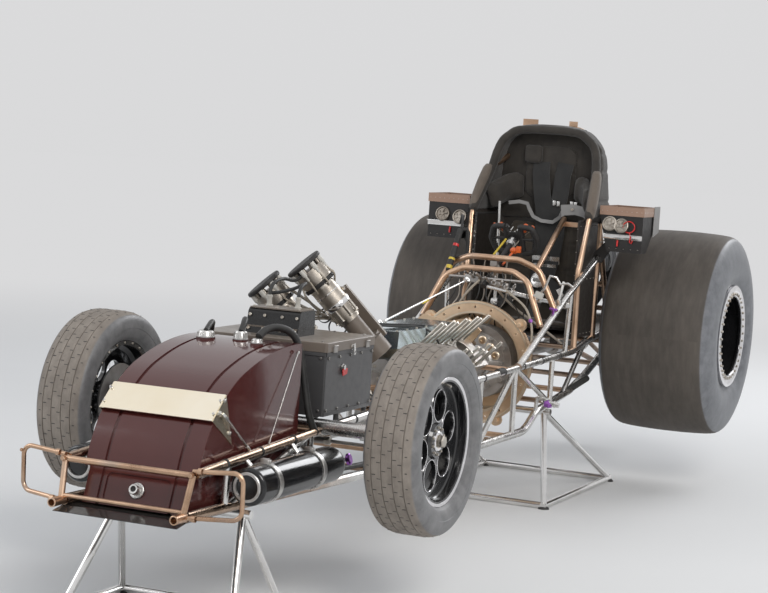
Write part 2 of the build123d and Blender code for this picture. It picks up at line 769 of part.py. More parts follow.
# Cockpit: an open-fronted tub, the padded surround over it, the seat and the head rest
surround_back = wheelbase - 385 - cage_radius - fit_gap
surround_low = 940.0
surround_top = 1340.0
surround_wall = 36.0
surround_plate = 8.0
surround_edge = ((290, surround_low), (268, 1110), (250, 1240), (176, surround_top))
surround_slope = ((wheelbase - 687, surround_low), (wheelbase - 542, 1130), (wheelbase - 508, 1240),
                  (wheelbase - 503, surround_top))


def lying(points):
    """Plan view points from x and station."""
    return [(x, front_axle_y + back) for x, back in points]


with BuildPart() as cockpit_tub:
    with BuildSketch(Plane.XY.offset(floor_gap + tub_floor)):
        with BuildLine():
            left = lying([(tub_half_width, tub_front), (tub_half_width, tub_back - 24), (214, tub_back),
                          (-214, tub_back), (-tub_half_width, tub_back - 24), (-tub_half_width, tub_front)])
            Polyline(*left, close=True)
        make_face()
    extrude(amount=tub_top - tub_floor)
    front_face = cockpit_tub.faces().sort_by(Axis.Y)[0]
    top_face = cockpit_tub.faces().sort_by(Axis.Z)[-1]
    offset(amount=-tub_wall, openings=[front_face, top_face])
    for back in cross_high[-2:]:
        foot_up = on_rail(upper_rail, back)[2] + brace_radius + fit_gap
        with BuildSketch(Plane.XY.offset(foot_up)) as feet:
            with Locations((150, front_axle_y + back), (-150, front_axle_y + back)):
                Rectangle(30, 16)
        extrude(feet.sketch, amount=floor_gap + tub_floor + tub_wall / 2 - foot_up)
save(cockpit_tub.part, "cockpit_tub")


def surround_outline(shrink):
    """Arch outline of the padded surround, in x and height, smaller all round by shrink."""
    with BuildSketch(Plane.XZ) as outline:
        with BuildLine():
            left = [(x, up) for x, up in surround_edge]
            right = [(-x, up) for x, up in surround_edge[::-1]]
            Polyline(*left, *right, close=True)
        make_face()
        fillet(outline.vertices().filter_by(lambda corner: corner.Z > surround_low + 50), 50)
        if shrink:
            offset(amount=-shrink, mode=Mode.REPLACE)
            with Locations((0, surround_low)):
                Rectangle(2 * (surround_edge[0][0] - shrink), 3 * shrink)
    return outline.sketch


with BuildPart() as surround:
    shell_face = surround_outline(0) - surround_outline(surround_wall)
    front = surround_slope[0][0]
    shell_depth = surround_back - front - surround_plate
    extrude(Pos(0, front_axle_y + front, floor_gap) * shell_face, amount=-shell_depth)
    back_face = Pos(0, front_axle_y + surround_back - surround_plate, floor_gap) * surround_outline(0)
    extrude(back_face, amount=-surround_plate)
    with BuildSketch(Plane(origin=station(-400, 0, 0), z_dir=(1, 0, 0), x_dir=(0, 1, 0))):
        with BuildLine():
            ahead = surround_slope[0][0] - 40
            Polyline(*surround_slope, (surround_slope[-1][0], surround_top + 40), (ahead, surround_top + 40),
                     (ahead, surround_low - 20), (surround_slope[0][0], surround_low - 20), close=True)
        make_face()
    extrude(amount=800, mode=Mode.SUBTRACT)
    for side in (1, -1):
        leg = cage_leg if side > 0 else mirrored(cage_leg)
        tube(leg, leg_radius + fit_gap, bend=leg_bend, mode=Mode.SUBTRACT)
save(surround.part, "surround")

seat_half_width = 205.0
seat_floor = tub_floor + tub_wall + fit_gap
seat_back = tub_back - tub_wall - fit_gap
with BuildPart() as seat:
    with BuildSketch(Plane(origin=station(-seat_half_width, 0, 0), z_dir=(1, 0, 0), x_dir=(0, 1, 0))):
        with BuildLine():
            profile = [(-264.7, 31.7), (-124.7, 0), (-58.7, 15.7), (0, 209.7), (0, 489.7), (-26.7, 489.7),
                       (-30.7, 209.7), (-92.7, 49.7), (-124.7, 39.7), (-258.7, 69.7)]
            Polyline(*[(seat_back + back, seat_floor + up) for back, up in profile], close=True)
        make_face()
    extrude(amount=2 * seat_half_width)
save(seat.part, "seat")

head_rest_depth = 34.0
with BuildPart() as head_rest:
    with Locations(station(0, surround_back - surround_plate - fit_gap - head_rest_depth / 2, 1130)):
        Box(250, head_rest_depth, 240)
    fillet(head_rest.edges().filter_by(Axis.Y), 50)
save(head_rest.part, "head_rest")

# Steering yoke on its column, turning in a collar that hangs from the rear dash hoop
yoke_centre, column_end = ahead_of_rear((0, 845, 846), (0, 1185, 655))
column_dir = (Vector(*column_end) - Vector(*yoke_centre)).normalized()
column_radius = 11.0
collar_radius = 19.0
collar_length = 46.0
column_length = (Vector(*column_end) - Vector(*yoke_centre)).length
collar_start = 236.0
column_plane = Plane(origin=yoke_centre, x_dir=(1, 0, 0), z_dir=tuple(column_dir))

grip_radius = 12.0
grip_line = ((34, 60), (86, 58), (104, 0), (88, -60), (34, -72))
spokes = (((16, 20), (36, 60)), ((16, -20), (36, -72)), ((20, 0), (100, 0)))

with BuildPart() as yoke:
    with BuildSketch(column_plane):
        Circle(column_radius)
    extrude(amount=column_length)
    with BuildSketch(column_plane):
        Circle(34)
    extrude(amount=8)
    for side in (1, -1):
        run = [column_plane.from_local_coords((side * x, up, 4)) for x, up in grip_line]
        tube([tuple(point) for point in run], grip_radius, bend=26)
        for (x, up), (end_x, end_up) in spokes:
            ends = [column_plane.from_local_coords((side * a, b, 4)) for a, b in ((x, up), (end_x, end_up))]
            tube([tuple(point) for point in ends], 6)
save(yoke.part, "yoke")

with BuildPart() as column_collar:
    with BuildSketch(column_plane.offset(collar_start)):
        Circle(collar_radius)
        Circle(column_radius + pin_clearance, mode=Mode.SUBTRACT)
    extrude(amount=collar_length)
    collar_middle = column_plane.from_local_coords((0, 0, collar_start + collar_length / 2))
    hanger_foot = (0, rear_hoop[-1][1], rear_hoop[-1][2] - hoop_radius - fit_gap)
    with BuildSketch(Plane(origin=(0, hanger_foot[1], collar_middle.Z + 17))):
        Rectangle(30, 16)
    extrude(amount=hanger_foot[2] - collar_middle.Z - 17)
save(column_collar.part, "column_collar")

# Front axle with kingpin bosses, the knuckles and the steering rack
boss_height = 84.0
boss_radius = 24.0
knuckle_ear = 14.0
knuckle_gap = 0.5
spindle_reach = front_track_half + 54
arm_drop = boss_height / 2 + knuckle_gap + knuckle_ear / 2
rack_bar_radius = 11.0
rack_housing_radius = 26.0
rack_housing_half = 130.0
rod_end_radius = 17.0
rod_end_height = 14.0
rod_gap = 1.0

with BuildPart() as front_axle:
    tube(stations((-kingpin_x + 10, 0, front_axle_height), (kingpin_x - 10, 0, front_axle_height)),
         axle_tube_radius)
    for side in (1, -1):
        with Locations(station(side * kingpin_x, 0, front_axle_height)):
            Cylinder(boss_radius, boss_height)
            Cylinder(kingpin_radius + pin_clearance, boss_height, mode=Mode.SUBTRACT)
save(front_axle.part, "front_axle")

for side, word in ((1, "left"), (-1, "right")):
    with BuildPart() as knuckle:
        ear_centre = boss_height / 2 + knuckle_gap + knuckle_ear / 2
        for up in (ear_centre, -ear_centre):
            with Locations(station(side * kingpin_x, 0, front_axle_height + up)):
                Cylinder(boss_radius, knuckle_ear)
            with Locations(station(side * (kingpin_x + 22), 0, front_axle_height + up)):
                Box(44, 44, knuckle_ear)
        with Locations(station(side * (kingpin_x + 37), 0, front_axle_height)):
            Box(16, 52, 2 * ear_centre + knuckle_ear)
        with Locations(station(side * kingpin_x, 0, front_axle_height)):
            Cylinder(kingpin_radius, 2 * ear_centre)
        tube([station(side * (kingpin_x + 37), 0, front_axle_height),
              station(side * spindle_reach, 0, front_axle_height)], spindle_radius)
        with Locations(station(side * kingpin_x, steering_arm_length / 2, front_axle_height - ear_centre)):
            Box(30, steering_arm_length, knuckle_ear)
        with Locations(station(side * kingpin_x, steering_arm_length, front_axle_height - ear_centre)):
            Cylinder(15, knuckle_ear)
    save(knuckle.part, f"knuckle_{word}")

rack_height = front_axle_height - arm_drop - knuckle_ear / 2 - rod_gap - rod_end_height / 2
with BuildPart() as steering_rack:
    reach = kingpin_x - rod_end_radius + 2
    tube(stations((-reach, steering_arm_length, rack_height), (reach, steering_arm_length, rack_height)),
         6)
    tube([station(-200, steering_arm_length, rack_height), station(200, steering_arm_length, rack_height)],
         rack_bar_radius)
    for side in (1, -1):
        with Locations(station(side * kingpin_x, steering_arm_length, rack_height)):
            Cylinder(rod_end_radius, rod_end_height)
save(steering_rack.part, "steering_rack")

with BuildPart() as rack_housing:
    rack_start = station(-rack_housing_half, steering_arm_length, rack_height)
    with BuildSketch(Plane(origin=rack_start, z_dir=(1, 0, 0))):
        Circle(rack_housing_radius)
        Circle(rack_bar_radius + pin_clearance, mode=Mode.SUBTRACT)
    extrude(amount=2 * rack_housing_half)
    for side in (1, -1):
        x, y, z = on_rail(lower_rail, steering_arm_length)
        tube([station(side * 90, steering_arm_length, rack_height - 18), (side * x, y, z)], 9)
        tube(lower_rail if side > 0 else mirrored(lower_rail), lower_rail_radius + fit_gap, bend=rail_bend,
             mode=Mode.SUBTRACT)
save(rack_housing.part, "rack_housing")


def turned(x_centre, back, up, points, side=1):
    """Revolves a closed section, given as distance outward and radius, about a wheel's axle."""
    across = Plane(origin=station(x_centre, back, up), z_dir=(0, -1, 0), x_dir=(side, 0, 0))
    with BuildSketch(across) as section:
        with BuildLine():
            Polyline(*points, close=True)
        make_face()
    axle = Axis(station(x_centre, back, up), (1, 0, 0))
    revolve(section.sketch, axis=axle)


# Front tyres, wheels and brake discs
front_half = front_tyre_width / 2
front_bead = front_rim_radius + 6
wheel_holes = 6
wheel_hole_radius = 49.0
wheel_hole_circle = 112.0
wheel_hole_turn = -12.0
for side, word in ((1, "left"), (-1, "right")):
    centre = (side * front_track_half, 0, front_axle_height)
    with BuildPart() as front_tyre:
        half_section = [(59.5, front_bead), (59.5, front_rim_radius + 16.5), (69, front_rim_radius + 17),
                        (82, 222),
                        (front_half, 254), (86, 284), (70, 298), (36, front_tyre_radius)]
        turned(*centre, half_section + [(-a, b) for a, b in half_section[::-1]], side)
    save(front_tyre.part, f"front_tyre_{word}")
    with BuildPart() as front_wheel:
        r = front_rim_radius
        turned(*centre, [(-68, r + 16), (-64, r + 16), (-60, r + 4), (-30, r + 4), (-20, r - 10),
                         (20, r - 10), (36, r + 4), (60, r + 4), (64, r + 16), (68, r + 16), (64, r),
                         (38, r - 2), (22, r - 16), (-22, r - 16), (-32, r - 2), (-66, r)], side)
        turned(*centre, [(22, r - 1), (34, r - 2), (30, 150), (34, 60), (44, 54),
                         (44, spindle_radius + pin_clearance), (-40, spindle_radius + pin_clearance),
                         (-40, 44), (18, 52), (22, 140)], side)
        with BuildSketch(Plane(origin=station(side * (front_track_half - 10), 0, front_axle_height),
                               z_dir=(side, 0, 0))) as openings:
            with PolarLocations(wheel_hole_circle, wheel_holes, start_angle=wheel_hole_turn):
                Circle(wheel_hole_radius)
        extrude(openings.sketch, amount=70, mode=Mode.SUBTRACT)
    save(front_wheel.part, f"front_wheel_{word}")
    with BuildPart() as front_disc:
        turned(*centre, [(-54, 128), (-48, 128), (-48, 42), (-40.3, 42), (-40.3, spindle_radius + 4),
                         (-54, spindle_radius + 4)],
               side)
    save(front_disc.part, f"front_disc_{word}")

# Rear slicks and wheels on one locked axle
rear_bead = rear_rim_radius + 8
lock_ring_radius = 178.0
for side, word in ((1, "left"), (-1, "right")):
    centre = (side * rear_track_half, wheelbase, rear_axle_height)
    h = rear_tread_half
    with BuildPart() as rear_tyre:
        turned(*centre, [(235.5, rear_bead), (235.5, rear_rim_radius + 26.5), (h + 27, rear_hole_radius),
                         (h + rear_bulge, 330), (h + 20, 406), (h, 434), (h - 30, 448), (0, rear_tyre_radius),
                         (30 - h, 448), (-h, 434), (-h - 20, 406), (8 - h - rear_bulge, 330),
                         (-h - 18, rear_hole_radius), (-235.5, rear_rim_radius + 22.5),
                         (-235.5, rear_bead)], side)
    save(rear_tyre.part, f"rear_tyre_{word}")
    with BuildPart() as rear_wheel:
        r = rear_rim_radius
        turned(*centre, [(-246, r + 22), (-238, r + 22), (-236, r + 6), (236, r + 6), (238, r + 26),
                         (252, r + 26), (252, r), (246, r), (246, lock_ring_radius), (236, lock_ring_radius),
                         (236, r - 3), (-246, r - 3)], side)
        turned(*centre, [(-30, r + 1), (-20, r + 1), (16, 70), (48, 60), (48, axle_shaft_radius + fit_gap),
                         (-30, axle_shaft_radius + fit_gap), (-30, 74), (-44, r + 1)], side)
        with BuildSketch(Plane(origin=station(side * (rear_track_half - 70), wheelbase, rear_axle_height),
                               z_dir=(side, 0, 0))) as openings:
            with PolarLocations(138, 8):
                Circle(30)
        extrude(openings.sketch, amount=130, mode=Mode.SUBTRACT)
    save(rear_wheel.part, f"rear_wheel_{word}")

with BuildPart() as axle_shaft:
    tube([station(-rear_track_half - 60, wheelbase, rear_axle_height),
          station(rear_track_half + 60, wheelbase, rear_axle_height)], axle_shaft_radius)
    for side in (1, -1):
        with Locations(Plane(origin=station(side * 300, wheelbase, rear_axle_height), z_dir=(1, 0, 0))):
            Cylinder(140, 12)
            Cylinder(60, 46)
save(axle_shaft.part, "axle_shaft")

housing_half = 244.0
nose_root = 110.0
axle_plate = 14.0
bar_low = (120, -90)
bar_high = (135, 60)
with BuildPart() as axle_housing:
    with Locations(Plane(origin=station(0, wheelbase, rear_axle_height), z_dir=(1, 0, 0))):
        Cylinder(housing_tube_radius, 2 * housing_half)
        Cylinder(128, 150)
    with BuildSketch(Plane(origin=station(0, wheelbase - nose_root, clutch_height), z_dir=(0, -1, 0))) as nose:
        Circle(62)
    extrude(nose.sketch, amount=pinion_reach - nose_root, taper=8)
    for side in (1, -1):
        plate_plane = Plane(origin=station(side * rail_x_rear - axle_plate / 2, wheelbase, rear_axle_height),
                            x_dir=(0, 1, 0), z_dir=(1, 0, 0))
        with BuildSketch(plate_plane) as plate:
            Circle(rear_cut_radius)
            with Locations(bar_low, bar_high):
                Circle(20)
            make_hull()
        extrude(plate.sketch, amount=axle_plate)
    with Locations(Plane(origin=station(0, wheelbase, rear_axle_height), z_dir=(1, 0, 0))):
        Cylinder(axle_shaft_radius + pin_clearance, 2 * housing_half, mode=Mode.SUBTRACT)
save(axle_housing.part, "axle_housing")

# Wheelie bar with two small wheels, and two parachute packs behind the driver
bar_wheel_radius = 62.0
bar_wheel_back = tail_reach - bar_wheel_radius
bar_wheel_height = 96.0
with BuildPart() as wheelie_bar:
    for side in (1, -1):
        low = stations((side * 150, wheelbase + bar_low[0], rear_axle_height + bar_low[1]),
                       (side * 60, bar_wheel_back, bar_wheel_height + 6))
        high = stations((side * 150, wheelbase + bar_high[0], rear_axle_height + bar_high[1]),
                        (side * 60, bar_wheel_back - 40, bar_wheel_height + 34))
        tube(low, 13)
        tube(high, 11)
        tube([low[0], high[0]], 10)
    bar_reach = rail_x_rear - axle_plate / 2 - fit_gap
    for (back, up), radius in ((bar_low, 14), (bar_high, 12)):
        place = (wheelbase + back, rear_axle_height + up)
        tube(stations((-bar_reach, *place), (bar_reach, *place)), radius)
    with Locations(Plane(origin=station(0, bar_wheel_back, bar_wheel_height), z_dir=(1, 0, 0))):
        Cylinder(20, 150)
        Cylinder(9 + pin_clearance, 150, mode=Mode.SUBTRACT)
save(wheelie_bar.part, "wheelie_bar")

with BuildPart() as wheelie_wheels:
    with Locations(Plane(origin=station(0, bar_wheel_back, bar_wheel_height), z_dir=(1, 0, 0))):
        Cylinder(9, 260)
        for x in (106, -106):
            with Locations((0, 0, x)):
                Cylinder(bar_wheel_radius, 40)
save(wheelie_wheels.part, "wheelie_wheels")

chute_radius = 70.0
with BuildPart() as parachute_packs:
    for side in (1, -1):
        pack_end = Plane(origin=station(side * 80, wheelbase - 185, 700), z_dir=(0, 1, 0.12), x_dir=(1, 0, 0))
        with BuildSketch(pack_end) as pack:
            Circle(chute_radius)
        extrude(pack.sketch, amount=420)
save(parachute_packs.part, "parachute_packs")

# Clamp-on side trays: a sheet box that narrows downwards, and a deep lip round its mouth
tray_inner = 301.3
tray_outer = 495.0
tray_front = wheelbase - 616
tray_back = wheelbase - 383
tray_low = 812.0
tray_high = 968.0
tray_foot_inner = 340.0
tray_foot_back = tray_front + 74
tray_wall = 3.0
lip_height = 38.0
lip_overhang = 4.0
lip_wall = 6.0


def tray_rectangle(side, inner, outer, back, up):
    """Level rectangle from the tray's front edge to back, at the given height."""
    middle = station(side * (inner + outer) / 2, (tray_front + back) / 2, up)
    with BuildSketch(Plane(origin=middle)) as level:
        Rectangle(outer - inner, back - tray_front)
    return level.sketch


clamp_back = tray_front + 61
clamp_thickness = 12.0
clamp_margin = 5.0


def tray_clamp(side):
    """Upright plate bored for the shoulder bar, reaching from it to the tray's slanting inner wall."""
    x, y, z = on_rail(shoulder_bar, clamp_back)
    reach = upper_rail_radius + clamp_margin
    slant = (tray_foot_inner - tray_inner) / (tray_high - tray_low)
    low, high = floor_gap + tray_low + 1, floor_gap + tray_low + 50
    with BuildSketch(Plane(origin=(0, y, 0), x_dir=(side, 0, 0), z_dir=(0, -side, 0))) as plate:
        with BuildLine():
            Polyline((x - reach, z - reach), (x - reach, z + reach), (tray_foot_inner + 1 - slant * 50, high),
                     (tray_foot_inner + 1, low), (x + reach, z - reach), close=True)
        make_face()
        with Locations((x, z)):
            Circle(upper_rail_radius + fit_gap, mode=Mode.SUBTRACT)
    extrude(plate.sketch, amount=clamp_thickness / 2, both=True)


for side, word in ((1, "left"), (-1, "right")):
    with BuildPart() as side_tray:
        loft([tray_rectangle(side, tray_foot_inner, tray_outer, tray_foot_back, tray_low),
              tray_rectangle(side, tray_inner, tray_outer, tray_back, tray_high)])
        offset(amount=-tray_wall, openings=side_tray.faces().sort_by(Axis.Z)[-1])
        tray_clamp(side)
        bar = shoulder_bar if side > 0 else mirrored(shoulder_bar)
        tube(bar, upper_rail_radius + fit_gap, bend=rail_bend, mode=Mode.SUBTRACT)
    save(side_tray.part, f"side_tray_{word}")

with BuildPart() as tray_lips:
    for side in (1, -1):
        lip_x = side * (tray_inner + tray_outer + lip_overhang) / 2
        lip_width = tray_outer - tray_inner + lip_overhang
        lip_length = tray_back - tray_front + 2 * lip_overhang
        with Locations(station(lip_x, (tray_front + tray_back) / 2, tray_high + fit_gap + lip_height / 2)):
            Box(lip_width, lip_length, lip_height)
            Box(lip_width - 2 * lip_wall, lip_length - 2 * lip_wall, lip_height, mode=Mode.SUBTRACT)
save(tray_lips.part, "tray_lips")

# Stands: a floor frame, legs and a top beam that the lower rails rest on
stand_tube = 14.0


def stand(front_back, rear_back, half_width, top_back, rail_half, below=0):
    """One stand under the lower rails at top_back, on a floor frame between two stations."""
    up = -floor_gap + stand_tube
    x, y, z = on_rail(lower_rail, top_back)
    beam_up = z - floor_gap - lower_rail_radius - fit_gap - stand_tube - below
    for back in (front_back, rear_back):
        tube(stations((-half_width, back, up), (half_width, back, up)), stand_tube)
    for side in (1, -1):
        tube(stations((side * half_width, front_back - stand_tube, up),
                      (side * half_width, rear_back + stand_tube, up)), stand_tube)
        tube(stations((side * half_width, front_back, up), (side * rail_half, top_back, beam_up)),
             stand_tube - 1)
        tube(stations((side * half_width, rear_back, up), (side * rail_half, top_back, beam_up)),
             stand_tube - 2)
    tube(stations((-rail_half - 30, top_back, beam_up), (rail_half + 30, top_back, beam_up)), stand_tube)


with BuildPart() as front_stand:
    stand(222 - nose_reach, 582 - nose_reach, 290, 412 - nose_reach, 212, below=pan_thickness + 2 * fit_gap)
save(front_stand.part, "front_stand")

with BuildPart() as rear_stand:
    stand(wheelbase - 1100, wheelbase - 215, 300, wheelbase - 1065, 260)
save(rear_stand.part, "rear_stand")
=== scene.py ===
"""Looks of the drag racing car: materials, tyres, trim, hoses, padding, lights and the camera."""
import math

import bpy
import bmesh
from mathutils import Matrix, Vector


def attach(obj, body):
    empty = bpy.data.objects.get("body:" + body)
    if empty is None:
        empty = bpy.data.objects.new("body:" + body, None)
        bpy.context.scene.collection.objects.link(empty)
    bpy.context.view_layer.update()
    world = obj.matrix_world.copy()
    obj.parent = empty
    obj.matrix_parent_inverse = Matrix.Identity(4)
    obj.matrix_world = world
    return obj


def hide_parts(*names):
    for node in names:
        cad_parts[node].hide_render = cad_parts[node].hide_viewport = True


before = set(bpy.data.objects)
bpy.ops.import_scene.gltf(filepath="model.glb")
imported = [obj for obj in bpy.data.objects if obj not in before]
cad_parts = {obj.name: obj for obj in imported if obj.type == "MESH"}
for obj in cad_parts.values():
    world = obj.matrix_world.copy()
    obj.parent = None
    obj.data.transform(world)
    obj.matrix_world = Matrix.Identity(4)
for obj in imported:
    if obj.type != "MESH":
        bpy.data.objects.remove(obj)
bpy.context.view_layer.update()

TAU = 2 * math.pi
X, BACK, UP = Vector((1, 0, 0)), Vector((0, 1, 0)), Vector((0, 0, 1))
# The frame's origin behind the front axle, and the tyres' height above the stands' feet
ORIGIN_S, LIFT = 1664, 250
FRONT_AXLE, REAR_AXLE = (0, 311), (3175, 442)
TINTED = (0.58, 0.74)  # noise values between which a metal's tint fades in
CLOTH_FRAMES = 20
mirror = {"x": 1}  # what sides() multiplies the x of text places by


# Places and shapes; all sizes are in millimetres, and the vectors that come back are in metres
def P(x, s, h):
    """Point from millimetres: x to the left, s behind the front axle, h above the tyre plane."""
    return Vector((x / 1000, (s - ORIGIN_S) / 1000, (h + LIFT) / 1000))


def sides():
    """Goes over left and right; places written as text are mirrored on the right."""
    for side, word in ((1, "left"), (-1, "right")):
        mirror["x"] = side
        yield side, word
    mirror["x"] = 1


def numbers(text):
    """Rows of numbers from text such as "0 33, 8 33"."""
    return [[float(word) for word in row.split()] for row in text.split(",")]


def path(places):
    """Points from text such as "x s h, x s h", or from vectors."""
    if isinstance(places, str):
        return [P(mirror["x"] * x, s, h) for x, s, h in numbers(places)]
    return [Vector(p) for p in places]


def at(place):
    return path(place)[0] if isinstance(place, str) else Vector(place)


def whole(half, widest=math.inf):
    """A turned profile given from its middle outward, with its mirror image."""
    return [(-min(a, widest), r) for a, r in half[::-1] if a > 0] + half


def between(a, b, count):
    """Evenly spaced numbers from a to b."""
    return [a + (b - a) * k / (count - 1) for k in range(count)]


def circle_of(o, axis, ref, radius, count, start=0.0):
    """Places on a circle about an axis, each with its outward direction."""
    w = Vector(axis).normalized()
    u = (Vector(ref) - w * Vector(ref).dot(w)).normalized()
    v = w.cross(u)
    for k in range(count):
        t = start + TAU * k / count
        out = u * math.cos(t) + v * math.sin(t)
        yield at(o) + out * radius / 1000, out


def heading(pts, i):
    """Direction of a line of points at its point i."""
    return (pts[min(i + 1, len(pts) - 1)] - pts[max(i - 1, 0)]).normalized()


def square_to(way, t):
    return (Vector(way) - t * Vector(way).dot(t)).normalized()


class Shape:
    """Collects vertices and faces in metres."""

    def __init__(self):
        self.v, self.f = [], []

    def add(self, verts, faces):
        n = len(self.v)
        self.v += [tuple(p) for p in verts]
        self.f += [[n + i for i in face] for face in faces]
        return self

    def rows(self, verts, count, rows, ends=False):
        """Joins rows of count points each into a skin, with flat ends or none."""
        faces = [[i * count + k, i * count + (k + 1) % count, (i + 1) * count + (k + 1) % count,
            (i + 1) * count + k] for i in range(rows - 1) for k in range(count)]
        if ends:
            faces += [list(range(count))[::-1], [(rows - 1) * count + k for k in range(count)]]
        return self.add(verts, faces)

    def tube(self, pts, r, n=8):
        """Round bar along points."""
        pts = path(pts)
        verts, up = [], None
        for i, p in enumerate(pts):
            before, after = p - pts[max(i - 1, 0)], pts[min(i + 1, len(pts) - 1)] - p
            t = (after.normalized() + before.normalized()).normalized()
            up = square_to(up or t.orthogonal(), t)
            side = t.cross(up)
            verts += [p + (up * math.cos(TAU * k / n) + side * math.sin(TAU * k / n)) * (r / 1000)
                for k in range(n)]
        return self.rows(verts, n, len(pts), True)

    def lathe(self, o, axis, prof, n=48):
        """Turns a profile of (along, radius) pairs about an axis through o."""
        o = at(o)
        prof = [(a / 1000, r / 1000) for a, r in (numbers(prof) if isinstance(prof, str) else prof)]
        w = Vector(axis).normalized()
        u = w.orthogonal().normalized()
        v = w.cross(u)
        ways = [u * math.cos(TAU * k / n) + v * math.sin(TAU * k / n) for k in range(n)]
        return self.rows([o + w * a + way * r for a, r in prof for way in ways], n, len(prof))

    def rod(self, ends, r, n=16, bevel=0.0):
        """Straight bar between two ends with small chamfers."""
        a, b = path(ends)
        far = (b - a).length * 1000
        prof = [(0, 0), (0, r - bevel), (bevel, r), (far - bevel, r), (far, r - bevel), (far, 0)]
        return self.lathe(a, b - a, prof if bevel else [(0, 0), (0, r), (far, r), (far, 0)], n)

    def box(self, o, half, axes=None, cut=0.0):
        """Box about o with half sizes along the axes, its edges rounded by cut."""
        axes = [Vector(a).normalized() for a in axes or (X, BACK, UP)]
        bm = bmesh.new()
        bmesh.ops.create_cube(bm, size=2)
        for vert in bm.verts:
            vert.co = Vector([vert.co[i] * half[i] / 1000 for i in range(3)])
        if cut:
            bmesh.ops.bevel(bm, geom=bm.edges[:], offset=cut / 1000, segments=2, profile=0.6,
                affect="EDGES")
        bm.verts.index_update()
        verts = [at(o) + sum((axes[i] * vert.co[i] for i in range(3)), Vector())
            for vert in bm.verts]
        self.add(verts, [[vert.index for vert in face.verts] for face in bm.faces])
        bm.free()
        return self

    def prism(self, outline, o, u, v, depth):
        """Plate with a flat outline in the plane of u and v."""
        u, v = Vector(u).normalized(), Vector(v).normalized()
        w = u.cross(v)
        verts = [at(o) + (u * a + v * b + w * d) / 1000 for d in (0, depth) for a, b in outline]
        return self.rows(verts, len(outline), 2, True)

    def strip(self, pts, normals, width, thick):
        """Flat webbing along points; each normal is the strap's face direction."""
        pts, verts = path(pts), []
        for i, p in enumerate(pts):
            t = heading(pts, i)
            out = square_to(normals[i] if isinstance(normals, list) else normals, t)
            side = t.cross(out)
            verts += [p + (side * a * width + out * b * thick) / 2000
                for a, b in ((-1, -1), (1, -1), (1, 1), (-1, 1))]
        return self.rows(verts, 4, len(pts), True)

    def ball(self, o, r, n=8, squash=0.5):
        turns = [math.pi * i / n for i in range(n + 1)]
        return self.lathe(o, UP, [(-r * squash * math.cos(t), r * math.sin(t)) for t in turns],
            2 * n)

    def hexnut(self, o, axis, r, h):
        """Hexagon head on a washer, standing on o and pointing along axis."""
        o, w = at(o), Vector(axis).normalized()
        self.lathe(o, w, [(0, 0), (0, r * 1.25), (h * 0.18, r * 1.25), (h * 0.18, 0)], 16)
        return self.lathe(o + w * h * 0.00018, w, [(0, r), (h * 0.65, r), (h * 0.82, r * 0.82),
            (h * 0.82, 0)], 6)

    def capscrew(self, o, axis, r, h):
        """Socket head screw with its hexagon recess."""
        return self.lathe(o, axis, [(0, 0), (0, r), (h * 0.85, r), (h, r * 0.86), (h, r * 0.55),
            (h * 0.5, r * 0.5), (h * 0.5, 0)], 12)

    def circle(self, head, o, axis, ref, radius, count, r, h, lift=0.0, start=0.0):
        """Screws of one kind on a circle; a negative h points them against the axis."""
        axis = Vector(axis)
        for place, _ in circle_of(o, axis, ref, radius, count, start):
            head(self, place + axis * lift / 1000, axis * math.copysign(1, h), r, abs(h))
        return self


NUT, CAP = Shape.hexnut, Shape.capscrew


def clean(mesh):
    bm = bmesh.new()
    bm.from_mesh(mesh)
    bmesh.ops.remove_doubles(bm, verts=bm.verts, dist=1e-5)
    bmesh.ops.dissolve_degenerate(bm, edges=bm.edges, dist=1e-6)
    bmesh.ops.recalc_face_normals(bm, faces=bm.faces)
    bm.to_mesh(mesh)
    bm.free()
    mesh.polygons.foreach_set("use_smooth", [True] * len(mesh.polygons))


def made(name, data, mat):
    """A new object in the scene, with one material."""
    obj = bpy.data.objects.new(name, data)
    bpy.context.collection.objects.link(obj)
    data.materials.append(M[mat])
    return obj


def ride(obj, body):
    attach(obj, body)


def piece(name, shape, mat, body="chassis", replaces=(), angle=30):
    """Makes one visible object from a Shape and lets it ride on a body."""
    mesh = bpy.data.meshes.new(name)
    mesh.from_pydata(shape.v, [], shape.f)
    clean(mesh)
    mesh.set_sharp_from_angle(angle=math.radians(angle))
    obj = made(name, mesh, mat)
    ride(obj, body)
    if replaces:
        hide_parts(*replaces)
    return obj


def lines(name, runs, r, mat, body="chassis", res=6):
    """Hoses or wires: one curve object with a smooth spline through each run's control points."""
    curve = bpy.data.curves.new(name, "CURVE")
    curve.dimensions = "3D"
    curve.bevel_depth, curve.bevel_resolution = r / 1000, 2
    curve.resolution_u, curve.use_fill_caps = res, True
    for run in map(path, runs):
        spline = curve.splines.new("NURBS")
        spline.points.add(len(run) - 1)
        for point, place in zip(spline.points, run):
            point.co = (*place, 1)
        spline.order_u, spline.use_endpoint_u = 3, True
    ride(made(name, curve, mat), body)


# Materials
M, SLOT = {}, {}


